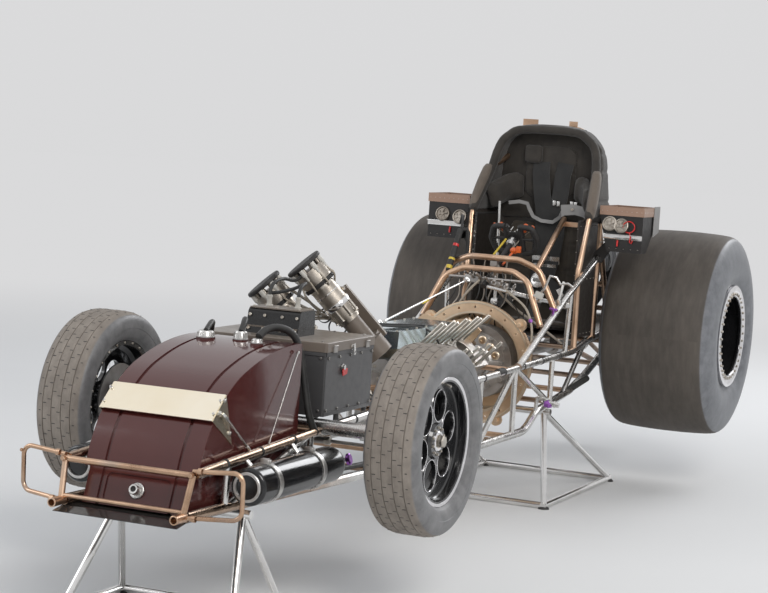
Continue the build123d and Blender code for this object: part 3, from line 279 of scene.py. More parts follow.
class Graph:
    """Short calls for one node tree."""

    def __init__(self, owner):
        owner.use_nodes = True
        self.tree = owner.node_tree

    def node(self, kind, **values):
        node = self.tree.nodes.new(kind)
        for key, value in values.items():
            setattr(node, key, value)
        return node

    def put(self, socket, value):
        if isinstance(value, bpy.types.NodeSocket):
            self.tree.links.new(value, socket)
        else:
            colour = isinstance(value, tuple) and len(value) == 3 and socket.type == "RGBA"
            socket.default_value = (*value, 1) if colour else value

    def fill(self, node, *values):
        """Sets a node's first inputs; gives its first output."""
        for socket, value in zip(node.inputs, values):
            self.put(socket, value)
        return node.outputs[0]

    def noise(self, scale, detail=4.0, rough=0.55, where=None, warp=0.0):
        node = self.node("ShaderNodeTexNoise")
        for key, value in (("Vector", where or self.place), ("Scale", scale), ("Detail", detail),
                ("Roughness", rough), ("Distortion", warp)):
            self.put(node.inputs[key], value)
        return node.outputs["Fac"]

    def ramp(self, fac, *stops):
        node = self.node("ShaderNodeValToRGB")
        band = node.color_ramp
        for element, (place, _) in zip(band.elements, (stops[0], stops[-1])):
            element.position = place
        for place, _ in stops[1:-1]:
            band.elements.new(place)
        for element, (_, colour) in zip(band.elements, stops):
            element.color = (*colour, 1)
        return self.fill(node, fac)

    def mix(self, fac, a, b):
        node = self.node("ShaderNodeMix", data_type="RGBA")
        for number, value in ((0, fac), (6, a), (7, b)):
            self.put(node.inputs[number], value)
        return node.outputs[2]

    def math(self, kind, *values):
        return self.fill(self.node("ShaderNodeMath", operation=kind), *values)

    def add(self, a, b):
        return self.math("ADD", a, b)

    def times(self, a, b):
        return self.math("MULTIPLY", a, b)

    def span(self, *values, **kind):
        """Maps a value between two limits to 0 and 1, or to the two last values."""
        return self.fill(self.node("ShaderNodeMapRange", **kind), *values)

    def split(self, vector):
        return self.fill(self.node("ShaderNodeSeparateXYZ"), vector).node.outputs

    def seen(self):
        """1 for what the camera sees, also as a reflection or through glass."""
        ray = self.node("ShaderNodeLightPath").outputs
        direct = self.math("MAXIMUM", ray["Is Camera Ray"], ray["Is Glossy Ray"])
        return self.math("MAXIMUM", direct, ray["Is Transmission Ray"])


class Surface(Graph):
    """One material, with its textures in object coordinates."""

    def __init__(self, name, slot):
        M[name], SLOT[name] = bpy.data.materials.new(name), slot
        super().__init__(M[name])
        self.bsdf = self.tree.nodes["Principled BSDF"]
        self.place = self.node("ShaderNodeTexCoord").outputs["Object"]

    def bump(self, height, strength, distance):
        node = self.node("ShaderNodeBump")
        for key, value in (("Height", height), ("Strength", strength), ("Distance", distance)):
            self.put(node.inputs[key], value)
        self.put(self.bsdf.inputs["Normal"], node.outputs[0])

    def set(self, **values):
        names = {"base": "Base Color", "metal": "Metallic", "rough": "Roughness",
            "coat": "Coat Weight", "coat_rough": "Coat Roughness", "sheen": "Sheen Weight",
            "sheen_rough": "Sheen Roughness"}
        for key, value in values.items():
            self.put(self.bsdf.inputs[names[key]], value)


def bare_metal(name, slot, dark, light, rough, scale, tint=None, tint_at=TINTED, fine=0.25,
        nose=None):
    """Metal between two shades, tinted in patches and scratched, with browned tubes at the nose."""
    g = Surface(name, slot)
    drift = g.noise(scale, 6, 0.6)
    colour = g.ramp(drift, (0.22, dark), (0.66, light))
    if tint:
        patch = g.span(g.noise(scale * 0.4, 4, 0.55, warp=0.5), *tint_at, 0.0, 0.75)
        colour = g.mix(patch, colour, tint)
    if nose:
        along_car = g.add(g.split(g.place)[1], g.times(g.noise(9, 4), 0.25))
        colour = g.mix(g.span(along_car, -1.62, -1.30, 1, 0), colour,
            g.ramp(drift, (0.22, nose[0]), (0.66, nose[1])))
    stretch = g.node("ShaderNodeMapping")
    stretch.inputs["Scale"].default_value = (1, 0.12, 1)
    scratch = g.noise(260, 3, 0.6, g.fill(stretch, g.place))
    g.set(base=colour, metal=1.0, rough=g.span(g.add(drift, g.times(scratch, 0.5)), 0.45, 1.0,
        *rough))
    g.bump(scratch, fine, 0.0004)


def coated(name, slot, colour, second, rough, coat=0.0, dust=None, dust_from=0.5, dust_top=0.16,
        peel=0.12):
    """Paint or powder coat with a slight drift in colour, fine grain and dust on upward faces."""
    g = Surface(name, slot)
    base = g.ramp(g.noise(3.0, 4, 0.5), (0.2, colour), (0.85, second))
    if dust:
        lying = g.span(g.split(g.node("ShaderNodeNewGeometry").outputs["Normal"])[2], dust_from, 1)
        cloud = g.span(g.noise(7, 5, 0.6), 0.25, 0.8, 0.45, 0.9)
        base = g.mix(g.times(g.times(lying, cloud), dust_top), base, dust)
    g.set(base=base, rough=g.span(g.noise(38, 4, 0.65), 0.35, 0.7, *rough), coat=coat,
        coat_rough=0.06)
    g.bump(g.noise(420, 2, 0.5), peel, 0.0003)


def woven(name, slot, dark, light, pitch, strength=0.5, sheen=0.25):
    """Cloth with a plain weave of crossing threads, faded in soft patches."""
    g = Surface(name, slot)
    x, y, z = g.split(g.place)
    across, along_it = (g.math("SINE", g.times(g.add(a, g.times(y, share)), pitch * TAU / 4))
        for a, share in ((x, 0.35), (z, 0.85)))
    weave = g.times(across, along_it)
    g.set(base=g.mix(g.span(weave, -1, 1, 0, 0.3), g.ramp(g.noise(14, 5, 0.6), (0.3, dark),
        (0.7, light)), light), rough=0.85, sheen=sheen, sheen_rough=0.5)
    g.bump(g.add(g.times(weave, 0.5), g.noise(70, 4)), strength, 0.0006)


def rubber(name, colour, second, rough=(0.55, 0.75), grain=300.0, strength=0.25):
    g = Surface(name, "caster_rubber")
    g.set(base=g.ramp(g.noise(16, 6, 0.65), (0.3, colour), (0.7, second)),
        rough=g.span(g.noise(44, 4), 0.3, 0.7, *rough))
    g.bump(g.noise(grain, 3, 0.6), strength, 0.0005)


def tyre(name, axle, edge, tread, tread_worn, wall, wall_light_with_sheen, streak):
    """Tyre rubber: scrubbed tread above the edge radius, smoother wall below it, lightened as
    painted sheen.
    """
    g = Surface(name, name)
    x, y, z = g.split(g.place)
    axle = P(0, *axle)
    dy, dz = g.math("SUBTRACT", y, axle.y), g.math("SUBTRACT", z, axle.z)
    radius = g.math("SQRT", g.add(g.times(dy, dy), g.times(dz, dz)))
    rolled = g.fill(g.node("ShaderNodeCombineXYZ"), g.times(x, 34.0),
        g.times(g.math("ARCTAN2", dz, dy), streak), g.times(radius, 10.0))
    scrub, grime = g.noise(1.0, 6, 0.65, rolled), g.noise(18, 5, 0.65)
    outside = g.ramp(g.add(g.times(scrub, 0.55), g.times(g.noise(5, 5, 0.6), 0.45)), (0.36, tread),
        (0.64, tread_worn))
    # Wall: rubber grey in two random shades, both lightened as painted sky sheen
    inside = g.ramp(grime, (0.34, wall), (0.7, wall_light_with_sheen))
    where = g.span(g.add(radius, g.times(g.noise(60, 3), 0.002)), edge, edge + 0.004)
    g.set(base=g.mix(where, inside, outside), rough=g.mix(where, g.span(grime, 0.3, 0.7, 0.36, 0.5),
        (0.72, 0.72, 0.72)))
    g.bump(g.add(g.noise(420, 3, 0.6), g.times(scrub, 0.8)), 0.22, 0.0006)


SILVER = (0.44, 0.43, 0.42), (0.70, 0.69, 0.67), (0.16, 0.34), 9, (0.34, 0.27, 0.22), TINTED
BROWNED = (0.25, 0.165, 0.115), (0.52, 0.385, 0.285)
METALS = (
    ("nickel", "chassis_silver", *SILVER, 0.1),
    ("frame_metal", "chassis_silver", *SILVER, 0.07, BROWNED),
    ("bronze", "chassis_bronze", (0.30, 0.185, 0.12), (0.66, 0.455, 0.315), (0.24, 0.42), 7,
        (0.42, 0.37, 0.33), (0.54, 0.72)),
    ("bronze_dark", "chassis_bronze", (0.10, 0.075, 0.06), (0.30, 0.215, 0.16), (0.3, 0.5), 8,
        (0.34, 0.30, 0.27)),
    ("bell_tan", "titanium_bronze", (0.48, 0.335, 0.215), (0.77, 0.585, 0.41), (0.34, 0.52), 6,
        (0.26, 0.155, 0.10), (0.60, 0.78)),
    ("bell_light", "titanium_bronze", (0.58, 0.48, 0.36), (0.78, 0.68, 0.54), (0.26, 0.4), 6,
        None, None, 0.15),
    ("billet", "billet_alloy", (0.42, 0.41, 0.40), (0.66, 0.65, 0.63), (0.25, 0.45), 12,
        (0.22, 0.19, 0.16), (0.56, 0.7)),
    ("steel", "axle_steel", (0.26, 0.25, 0.24), (0.46, 0.44, 0.42), (0.28, 0.5), 13,
        (0.16, 0.12, 0.09), (0.56, 0.7)),
    ("stud", "stud_steel", (0.36, 0.33, 0.29), (0.62, 0.58, 0.52), (0.25, 0.42), 20,
        (0.30, 0.23, 0.16), (0.55, 0.7)),
    ("piston_top", "piston_alloy", (0.16, 0.14, 0.12), (0.42, 0.38, 0.33), (0.4, 0.6), 22),
    ("disc", "disc_steel", (0.30, 0.29, 0.28), (0.52, 0.51, 0.50), (0.28, 0.46), 18),
    ("mag_alloy", "magneto_alloy", (0.24, 0.215, 0.185), (0.50, 0.455, 0.40), (0.28, 0.5), 16,
        (0.20, 0.17, 0.14), (0.55, 0.7)),
    ("purple", "anodised_purple", (0.20, 0.06, 0.30), (0.40, 0.16, 0.55), (0.22, 0.36), 24),
    ("chrome", "stand_chrome", (0.62, 0.61, 0.60), (0.80, 0.79, 0.78), (0.06, 0.16), 10,
        (0.45, 0.38, 0.32), (0.62, 0.78), 0.1),
    ("mirror_strip", "mirror_strip", (0.84, 0.72, 0.50), (0.94, 0.87, 0.72), (0.16, 0.26), 2.5,
        None, None, 0.08),
    ("plate_blue", "plate_blue", (0.60, 0.72, 0.76), (0.70, 0.80, 0.84), (0.10, 0.2), 3, None,
        None, 0.08),
    ("wheel_edge", "wheel_black", (0.62, 0.61, 0.62), (0.82, 0.81, 0.82), (0.08, 0.2), 12, None,
        None, 0.1))
for row in METALS:
    bare_metal(*row)
OILY = (0.2, 0.17, 0.14)
PAINTS = (
    ("tank_maroon", "tank_maroon", (0.066, 0.016, 0.015), (0.086, 0.021, 0.018), (0.10, 0.18),
        0.2, (0.26, 0.20, 0.20), 0.7, 0.07),
    ("black_gloss", "chassis_black", (0.012, 0.012, 0.013), (0.019, 0.018, 0.018), (0.14, 0.26),
        0.5, (0.28, 0.25, 0.22)),
    ("bottle_black", "bottle_black", (0.006, 0.006, 0.007), (0.010, 0.010, 0.011), (0.12, 0.2),
        0.1, (0.25, 0.23, 0.21), 0.6, 0.06),
    ("box_grey", "box_grey", (0.060, 0.059, 0.061), (0.078, 0.076, 0.076), (0.34, 0.46), 0,
        (0.30, 0.28, 0.26), 0.4),
    ("lid_grey", "lid_grey", (0.150, 0.122, 0.100), (0.190, 0.158, 0.130), (0.28, 0.40), 0,
        (0.36, 0.32, 0.27), 0.5, 0.18),
    ("coil_black", "coil_black", (0.006, 0.006, 0.006), (0.011, 0.010, 0.010), (0.2, 0.32), 0,
        (0.2, 0.18, 0.16), 0.5, 0.12),
    ("drive_brown", "drive_brown", (0.13, 0.104, 0.082), (0.165, 0.132, 0.105), (0.42, 0.56), 0,
        (0.32, 0.28, 0.24), 0.3, 0.3),
    ("tub_dark", "tub_dark", (0.022, 0.018, 0.015), (0.032, 0.027, 0.023), (0.4, 0.56), 0, OILY,
        0.3, 0.2),
    ("tray_copper", "tray_copper", (0.30, 0.185, 0.13), (0.37, 0.235, 0.17), (0.34, 0.46), 0.1,
        (0.42, 0.34, 0.28), 0.4),
    ("tray_black", "tray_black", (0.010, 0.009, 0.009), (0.017, 0.015, 0.014), (0.36, 0.5), 0,
        OILY, 0.4, 0.2),
    ("tray_grey", "box_grey", (0.24, 0.235, 0.23), (0.29, 0.28, 0.27), (0.4, 0.52), 0,
        (0.44, 0.41, 0.38), 0.4, 0.18),
    ("wheel_black", "wheel_black", (0.008, 0.008, 0.009), (0.013, 0.013, 0.014), (0.10, 0.2),
        0.5, (0.26, 0.24, 0.22), 0.5, 0.08),
    ("white_boot", "yoke_black", (0.46, 0.44, 0.40), (0.58, 0.56, 0.51), (0.35, 0.5), 0.1,
        (0.4, 0.36, 0.3), 0.4, 0.3),
    ("grip_black", "yoke_black", (0.012, 0.011, 0.011), (0.020, 0.018, 0.017), (0.5, 0.7), 0,
        None, None, None, 0.5),
    ("signal_red", "yoke_black", (0.50, 0.012, 0.012), (0.62, 0.02, 0.018), (0.3, 0.45), 0.2),
    ("tape_yellow", "yoke_black", (0.62, 0.44, 0.03), (0.72, 0.54, 0.06), (0.35, 0.5), 0.1),
    ("button_orange", "yoke_black", (0.60, 0.09, 0.012), (0.72, 0.14, 0.02), (0.3, 0.45), 0.2))
for row in PAINTS:
    coated(*row)
rubber("hose_tan", (0.30, 0.26, 0.21), (0.42, 0.37, 0.30), (0.45, 0.6), 500, 0.3)
rubber("rubber_black", (0.014, 0.014, 0.014), (0.035, 0.033, 0.031))
rubber("hose_black", (0.012, 0.012, 0.012), (0.03, 0.029, 0.027), (0.4, 0.6), 500, 0.3)
woven("padding", "padding_dark", (0.019, 0.016, 0.013), (0.044, 0.037, 0.030), 1000)
woven("seat_cloth", "seat_leather", (0.028, 0.022, 0.016), (0.054, 0.043, 0.031), 900)
woven("pad_grey", "padding_dark", (0.110, 0.088, 0.070), (0.165, 0.134, 0.106), 900, 0.4)
woven("webbing", "padding_dark", (0.010, 0.010, 0.010), (0.026, 0.025, 0.024), 700, 0.7, 0.4)
woven("pack_cloth", "pack_fabric", (0.016, 0.017, 0.020), (0.040, 0.041, 0.046), 800, 0.6, 0.3)
# Wall shades: rubber grey lightened as painted sky sheen, blued on the rear tyre
tyre("tyre_front", FRONT_AXLE, 0.293, (0.175, 0.15, 0.128), (0.285, 0.25, 0.215),
    (0.115, 0.115, 0.118), (0.21, 0.208, 0.21), 5)
tyre("tyre_rear", REAR_AXLE, 0.4365, (0.060, 0.051, 0.043), (0.105, 0.090, 0.076),
    (0.125, 0.13, 0.142), (0.22, 0.226, 0.24), 3)

# The solids' materials
DRESS = {
    "bronze": "front_bumper cross_members dash_hoops roll_cage",
    "bronze_dark": "wheelie_bar",
    "nickel": "bottle_straps frame_braces shoulder_bars front_axle",
    "frame_metal": "side_frame_left side_frame_right",
    "billet": "tank_fittings engine_block front_case oil_pan rack_housing axle_housing",
    "steel": "driveline column_collar knuckle_left knuckle_right steering_rack axle_shaft",
    "disc": "front_disc_left front_disc_right",
    "stud": "head_studs",
    "piston_top": "pistons",
    "mag_alloy": "magnetos",
    "chrome": "front_stand rear_stand",
    "bell_tan": "bellhousing motor_plate",
    "mirror_strip": "tank_deflector",
    "plate_blue": "valley_cover",
    "black_gloss": "skid_pan",
    "tank_maroon": "fuel_tank",
    "bottle_black": "bottle_left bottle_right",
    "box_grey": "electronics_box",
    "lid_grey": "box_lid",
    "coil_black": "coil_box",
    "drive_brown": "magneto_drive",
    "tub_dark": "cockpit_tub",
    "grip_black": "yoke",
    "padding": "surround seat head_rest",
    "pack_cloth": "parachute_packs",
    "rubber_black": "wheelie_wheels",
    "tyre_front": "front_tyre_left front_tyre_right",
    "tyre_rear": "rear_tyre_left rear_tyre_right",
    "wheel_black": "front_wheel_left front_wheel_right rear_wheel_left rear_wheel_right",
    "tray_black": "side_tray_left side_tray_right",
    "tray_copper": "tray_lips",
}
for dress, nodes in DRESS.items():
    for node in nodes.split():
        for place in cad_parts[node].material_slots:
            place.material = M[dress]

# Camera, floor and lights
camera = bpy.data.objects.new("camera", bpy.data.cameras.new("camera"))
bpy.context.collection.objects.link(camera)
camera.data.sensor_fit, camera.data.sensor_width, camera.data.lens = "HORIZONTAL", 36.0, 98.15
camera.data.clip_end = 200
ahead = Vector((-0.3947218, 0.9151785, -0.0815042))
right = Vector((0.9144191, 0.3999437, 0.0623124))
above = Vector((-0.0896241, 0.0499329, 0.9947232))
turn = Matrix((right, above, -ahead)).transposed().to_4x4()
camera.matrix_world = Matrix.Translation((3.0438, -7.7552, 1.5428)) @ turn
scene = bpy.context.scene
scene.camera = camera

disc = Shape().lathe((0, 0, 0), UP, "0 0, 0 4000, 0 8000, 0 14000, 0 30000, 0 60000", 96)
floor_mesh = bpy.data.meshes.new("floor")
floor_mesh.from_pydata(disc.v, [], disc.f)
clean(floor_mesh)
g = Surface("floor_pale", "box_grey")
g.set(base=g.ramp(g.noise(0.6, 3), (0.3, (0.79, 0.79, 0.785)), (0.7, (0.81, 0.81, 0.805))),
    rough=0.85)
surface = next(n for n in g.tree.nodes if n.type == "OUTPUT_MATERIAL").inputs["Surface"]
distance = g.node("ShaderNodeVectorMath", operation="LENGTH")
g.put(distance.inputs[0], g.place)
far = g.span(distance.outputs["Value"], 3.6, 11.0, interpolation_type="SMOOTHSTEP")
glow = g.fill(g.node("ShaderNodeEmission"), (0.70, 0.70, 0.707))
g.put(surface, g.fill(g.node("ShaderNodeMixShader"), g.times(g.seen(), far),
    surface.links[0].from_socket, glow))
made("floor", floor_mesh, "floor_pale")


def lamp(name, place, target, width, power, colour):
    light = bpy.data.lights.new(name, "AREA")
    light.shape, light.size, light.size_y = "RECTANGLE", width, 3
    light.energy, light.color = power, colour
    obj = bpy.data.objects.new(name, light)
    bpy.context.collection.objects.link(obj)
    obj.location = place
    obj.rotation_euler = (Vector(target) - Vector(place)).to_track_quat("-Z", "Y").to_euler()


lamp("key", (5.0, -5.5, 5.5), (0, 0, 0.4), 4, 330, (1, 0.98, 0.95))
lamp("fill", (-5.5, -5.0, 4.0), (0, -1, 0.5), 4, 120, (0.95, 0.97, 1))
lamp("back", (2.5, 7.5, 5.0), (0, 1.0, 0.6), 5, 260, (0.97, 0.98, 1))

scene.world = bpy.data.worlds.new("studio")
g = Graph(scene.world)
g.tree.nodes.clear()
lit = g.fill(g.node("ShaderNodeBackground"), (0.92, 0.95, 1.0), 0.5)
level = g.span(g.split(g.node("ShaderNodeTexCoord").outputs["Generated"])[2], -1, 1)
greys = [(0, (0.6, 0.6, 0.606)), *[(place, (grey, grey, grey * 1.01))
    for place, grey in ((0.50, 0.70), (0.56, 0.71), (0.70, 0.76), (0.8, 0.85))],
    (1, (0.95, 0.95, 0.97))]
shown = g.fill(g.node("ShaderNodeBackground"), g.ramp(level, *greys))
both = g.fill(g.node("ShaderNodeMixShader"), g.seen(), lit, shown)
g.put(g.node("ShaderNodeOutputWorld").inputs[0], both)
scene.view_settings.view_transform = "Standard"


# Pieces
def rod_end(shape, ends, r, eye):
    """Thin link between two ends with a jam nut and a flat eye at each."""
    a, b = path(ends)
    axis = (b - a).normalized() / 1000
    shape.rod((a + axis * eye, b - axis * eye), r)
    for end, away in ((a, axis), (b, -axis)):
        side = away.orthogonal().normalized()
        shape.lathe(end - side * eye * 0.00045, side, [(0, eye * 0.45), (0, eye), (eye * 0.9, eye),
            (eye * 0.9, eye * 0.45)], 20)
        shape.rod((end + away * eye * 0.8, end + away * eye * 3), r * 1.5, 6)


# Front tyres and wheels
def front_tread(a):
    return 304.6 - 6.8 * (max(abs(a) - 36, 0) / 34) ** 2


front_half = [(0, front_tread(0))]
for middle in (18, 52):
    top = front_tread(middle)
    front_half += [(middle - 1.8, top), (middle - 1.1, top - 3.2), (middle + 1.1, top - 3.2),
        (middle + 1.8, top), (middle + 10, front_tread(middle + 10)),
        (middle + 18, front_tread(middle + 18))]
front_half += [(76, 295.4), (81, 291.2), (85.5, 285), (89, 274), (90.8, 259), (90.4, 250),
    (89.4, 249.4), (89, 243), (86, 231), (80, 220), (77.6, 216.6), (77, 217), (71, 210.6),
    (69, 207.9), (60, 207.4), (60, 199)]
for side, word in sides():
    o, body = P(side * 588, 0, 311), f"front_wheel_{word}_turning"
    axis = X * side
    tyre_shape = Shape().lathe(o, axis, whole(front_half), 144)
    piece(f"front_tyre_rubber_{word}", tyre_shape, "tyre_front", body, [f"front_tyre_{word}"], 40)
    ticks = Shape()
    for row, middle in enumerate((-52, -18, 18, 52)):
        for k in range(72):
            a = middle + (8.5 if (k + row) % 2 else -8.5)
            t = TAU * (k + 0.5 * (row % 2)) / 72
            out = Vector((0, math.cos(t), math.sin(t)))
            ticks.box(o + axis * a / 1000 + out * front_tread(a) / 1000, (6.2, 1.1, 0.35),
                      (axis, axis.cross(out), out))
    piece(f"tread_ticks_{word}", ticks, "rubber_black", body)
    rim = Shape().lathe(o, axis, "68.1 207.6, 69.2 205.5, 68.2 201, 66.2 196.2, 65.4 196.2, "
        "67.4 206", 96)
    for place, out in circle_of(o, axis, UP, 112, 6, math.radians(-12 if side > 0 else 192)):
        rim.lathe(place, axis, "28.5 49.3, 34.6 49.3, 35.6 50.2, 35.2 52.6, 30 53, 28.5 49.3", 40)
    rim.lathe(o, axis, "44 33, 47 33, 50 30, 50 24, 44 24", 40)
    piece(f"wheel_bright_{word}", rim, "wheel_edge", body)
    hub = Shape().hexnut(o + axis * 0.044, axis, 21, 24)
    hub.circle(NUT, o, axis, UP, 43, 10, 4.2, 6, 44.2)
    hub.circle(CAP, o, axis, UP, 199.5, 24, 3.8, -4, -66.5)
    hub.rod((o + axis * 0.055 + UP * 0.182, o + axis * 0.078 + UP * 0.176), 4.5, 12, 1)
    piece(f"wheel_bolts_{word}", hub, "stud", body)

# Rear slicks and wheels
rear_half = [(0, 456), (70, 455.2), (130, 453), (170, 450.4), (198, 447.2), (212, 443.8),
    (222, 439), (230, 432), (237, 422.5), (244, 408), (251, 390), (257, 370), (261.5, 348),
    (263.6, 326), (263, 306), (259.5, 286), (253, 268), (245.5, 254), (240.5, 246), (239.2, 240),
    (238.2, 232), (235.6, 230.6), (235.6, 212)]
for side, word in sides():
    o, body = P(side * 514, 3175, 442), "rear_axle_turning"
    axis = X * side
    slick = Shape().lathe(o, axis, whole(rear_half, 256.5), 192)
    piece(f"rear_slick_{word}", slick, "tyre_rear", body, [f"rear_tyre_{word}"], 40)
    ring = Shape().lathe(o, axis, "246.2 181, 249 181, 251 183.5, 251 200, 252.3 203.5, 253.4 207, "
        "253.4 226, 251.5 229.6, 238.4 229.6, 238.4 225, 246.2 203", 128)
    ring.lathe(o, axis, "46 66, 50 64, 53 60, 53 44, 48 44", 48)
    piece(f"lock_ring_{word}", ring, "wheel_edge", body, angle=25)
    bolts = Shape()
    bolts.circle(NUT, o, axis, UP, 191.5, 36, 5.2, 7.5, 250.8)
    bolts.circle(NUT, o, axis, UP, 54, 12, 6, 9, 52.8)
    bolts.hexnut(o + axis * 0.0485, axis, 36, 16)
    piece(f"lock_ring_bolts_{word}", bolts, "stud", body)

# Tank: seams of the raised middle, strip screws, links on the left, caps and hoses
trim = Shape()
for x in (-186, 186):
    for s, h in ((-674, 414), (-634, 449)):
        trim.capscrew(P(x, s - 1.2, h + 1.6), (0, -0.66, 0.75), 4.2, 4)
for x in (-1, 1):
    for s, h in ((-652, 418), (-624, 452), (-582, 350)):
        trim.hexnut(P(x * 193.4, s, h), (x, 0, 0), 5.5, 6)
for x, s, r, up in ((-96, -222, 26, 20), (10, -186, 21, 26), (96, -240, 16, 14)):
    trim.lathe(P(x, s, 586.5), UP, [(0, r + 4), (3, r + 4), (4, r + 2), (up - 3, r - 1),
        (up, r - 3), (up + 0.8, r - 5), (up + 0.8, 0)], 36)
    for place, out in circle_of(P(x, s, 586.8 + up / 2 - 2), UP, X, r + 0.4, 18):
        trim.box(place, (1.2, 1.2, up / 2 - 2), (out, UP.cross(out), UP))
piece("tank_trim", trim, "billet")
links = Shape()
rod_end(links, "201 -634 410, 214 -478 286", 3.8, 8.5)
rod_end(links, "201 -156 560, 216 -358 292", 2.2, 6)
rod_end(links, "-201 -634 410, -214 -478 286", 3.8, 8.5)
piece("tank_links", links, "nickel")
nose_way = (0, -0.938, 0.346)
nose = Shape().lathe("0 -777.4 178", nose_way, "18 9.4, 21.5 9.4, 21.5 9.8, 17 0", 32)
piece("tank_nose_bore", nose, "rubber_black")
nose = Shape().lathe("0 -777.4 178", nose_way,
                     "-4 24, 0 24, 1.5 22, 1.5 15, 20 15, 23 14, 23 9.6, 18 9.2", 40)
nose.circle(CAP, "0 -777.4 178", nose_way, UP, 19.5, 6, 2.2, 2, 1.5)
piece("tank_nose_ring", nose, "billet", angle=35)
lines("tank_hose", ["96 -228 606, 100 -180 640, 150 -88 620, 176 -76 540, 196 -70 420, "
    "214 -66 330, 226 -40 292"], 12.5, "hose_black")
lines("tank_vents", ["10 -186 612, 8 -150 650, -30 -90 640, -60 -70 520, -80 -60 330, -60 -46 300",
                     "-96 -222 606, -110 -150 640, -150 -86 600, -176 -72 430, -190 -60 300"],
      9.5, "hose_black")

# Bumper: caps in the tube ends, bolts and sleeves
front = Shape()
for side, word in sides():
    front.lathe("204 -912.4 136", -BACK, "-2 14.2, 1.4 14.2, 2.2 13, 2.2 10.2, -10 10", 32)
    front.hexnut("214 -843 257", -BACK, 8, 8)
    front.hexnut("369 -830 262", -BACK, 4.5, 5)
    front.lathe("232 -834 271", (side, 0.05, 0.02), "0 9, 1 10.2, 12 10.2, 13 9", 20)
    front.lathe("232 -858 137", X * side, "0 9, 1 10.2, 12 10.2, 13 9", 20)
piece("bumper_trim", front, "bronze")

# Pressure bottles: end rings, valves and gauges
for side, word in sides():
    o = P(side * 290, -632, 205)
    end = Shape().lathe(o, -BACK, "0.2 45.5, 5 45.5, 6.6 44, 6.6 37, 4 35.5, 0.2 35.5", 64)
    end.lathe("290 -42 205", BACK, "-2 20, 10 20, 12 17, 22 17, 22 12, 46 12, 48 9, 48 0", 28)
    end.rod("290 -14 205, 326 -10 216", 8, 16, 1)
    end.rod("290 -12 205, 288 -10 244", 6, 16, 1)
    for place in (-537, -232):
        end.lathe(P(side * 290, place + 3, 205), BACK, "0 61, 0 62.6, 20 62.6, 20 61", 64)
        end.box(P(side * 290, place + 13, 270), (13, 9, 8), None, 2)
        end.hexnut(P(side * (290 + 13), place + 13, 270), X * side, 6, 7)
    piece(f"bottle_trim_{word}", end, "billet")
    knob = Shape().lathe("326 -10 216", (side, 0.1, 0.28), "0 14, 3 19, 12 19, 15 15, 15 0", 24)
    piece(f"bottle_knob_{word}", knob, "purple")

# Electronics box, coil box and their plugs
screws = Shape()
for h in (362, 532):
    for x in between(-214, 214, 6):
        screws.capscrew(P(x, -10.3, h), -BACK, 4, 3.5)
        screws.capscrew(P(x, 366.3, h), BACK, 4, 3.5)
    for s in between(6, 350, 5):
        for side, _ in sides():
            screws.capscrew(P(side * 233.2, s, h), X * side, 4.5, 4)
for x in (-206, -60, 96, 206):
    for s in (14, 342):
        screws.capscrew(P(x, s, 583.2), UP, 5, 4)
for s in (46, 300):
    for side, _ in sides():
        screws.box(P(side * 238, s, 560), (2.5, 16, 11), None, 1)
        screws.rod((P(side * 241, s - 13, 571), P(side * 241, s + 13, 571)), 2.6, 10)
        screws.rod((P(side * 241, s - 13, 571), P(side * 240, s - 11, 548)), 1.6, 8)
        screws.rod((P(side * 241, s + 13, 571), P(side * 240, s + 11, 548)), 1.6, 8)
piece("box_screws", screws, "steel")
rails = Shape()
for side, _ in sides():
    rails.box("233.4 178 545", (1.2, 186, 6), None, 0.5)
    rails.box("233.4 178 350", (1.2, 186, 6), None, 0.5)
rails.box("0 -11.4 545", (228, 1.2, 6), None, 0.5)
piece("box_edges", rails, "box_grey")
tag = Shape().prism([(0, 0), (30, 4), (34, 22), (4, 26), (-4, 14)], P(238, 112, 468), BACK, UP, 3)
tag.rod("236 128 486, 240 128 500", 1.5, 8)
piece("kill_tag", tag, "signal_red")
switch = Shape().lathe("233.3 118 496", X, "0 11, 3 11, 4 8, 10 8, 10 0", 20)
switch.lathe("233.3 186 558", X, "0 10, 2.5 10, 3 7, 7 7, 7 0", 20)
switch.box("243 186 556", (1.2, 6, 13), (X, (0, 0.9, 0.3), (0, -0.3, 0.9)))
switch.lathe("244 186 540", X, "-1 5.5, -1 8.5, 1.4 8.5, 1.4 5.5", 16)
piece("box_switches", switch, "nickel")
plugs, plug_rings = Shape(), Shape()
for x, h, r in ((-180, 500, 17), (-120, 505, 14), (-64, 498, 17), (-10, 505, 12), (40, 500, 15),
        (96, 505, 12), (150, 498, 17), (190, 430, 13), (-190, 420, 13)):
    plugs.lathe(P(x, 366.2, h), BACK, [(0, r + 3), (3, r + 3), (3, r), (20, r), (22, r * 0.7),
        (34, r * 0.6), (34, 0)], 24)
    plug_rings.lathe(P(x, 370, h), BACK, [(4, r + 0.4), (4, r + 2), (12, r + 2), (12, r + 0.4)], 24)
piece("box_plugs", plugs, "coil_black")
piece("box_plug_rings", plug_rings, "purple")
coil = Shape()
coil.box("-8 139 666.5", (92, 54, 2.5), None, 1)
coil.box("-8 72 604", (92, 1.6, 4), (X, (0, 1, 0.2), (0, -0.2, 1)), 0.5)
piece("coil_plate", coil, "lid_grey")
coil = Shape()
for x in (-94, -40, 24, 78):
    for h in (598, 642):
        s = 82 - 16 * (654 - h) / 71
        coil.capscrew(P(x, s - 0.4, h), (0, -0.97, 0.22), 5.5, 5)
for x in (-90, -8, 74):
    coil.capscrew(P(x, 182, 669), UP, 5, 4)
    coil.capscrew(P(x, 98, 669), UP, 5, 4)
piece("coil_screws", coil, "stud")
posts = Shape()
for x in (-62, 44):
    posts.lathe(P(x, 150, 669), UP, "0 13, 4 13, 6 9, 26 8, 30 10, 36 10, 38 6, 38 0", 24)
piece("coil_posts", posts, "white_boot")
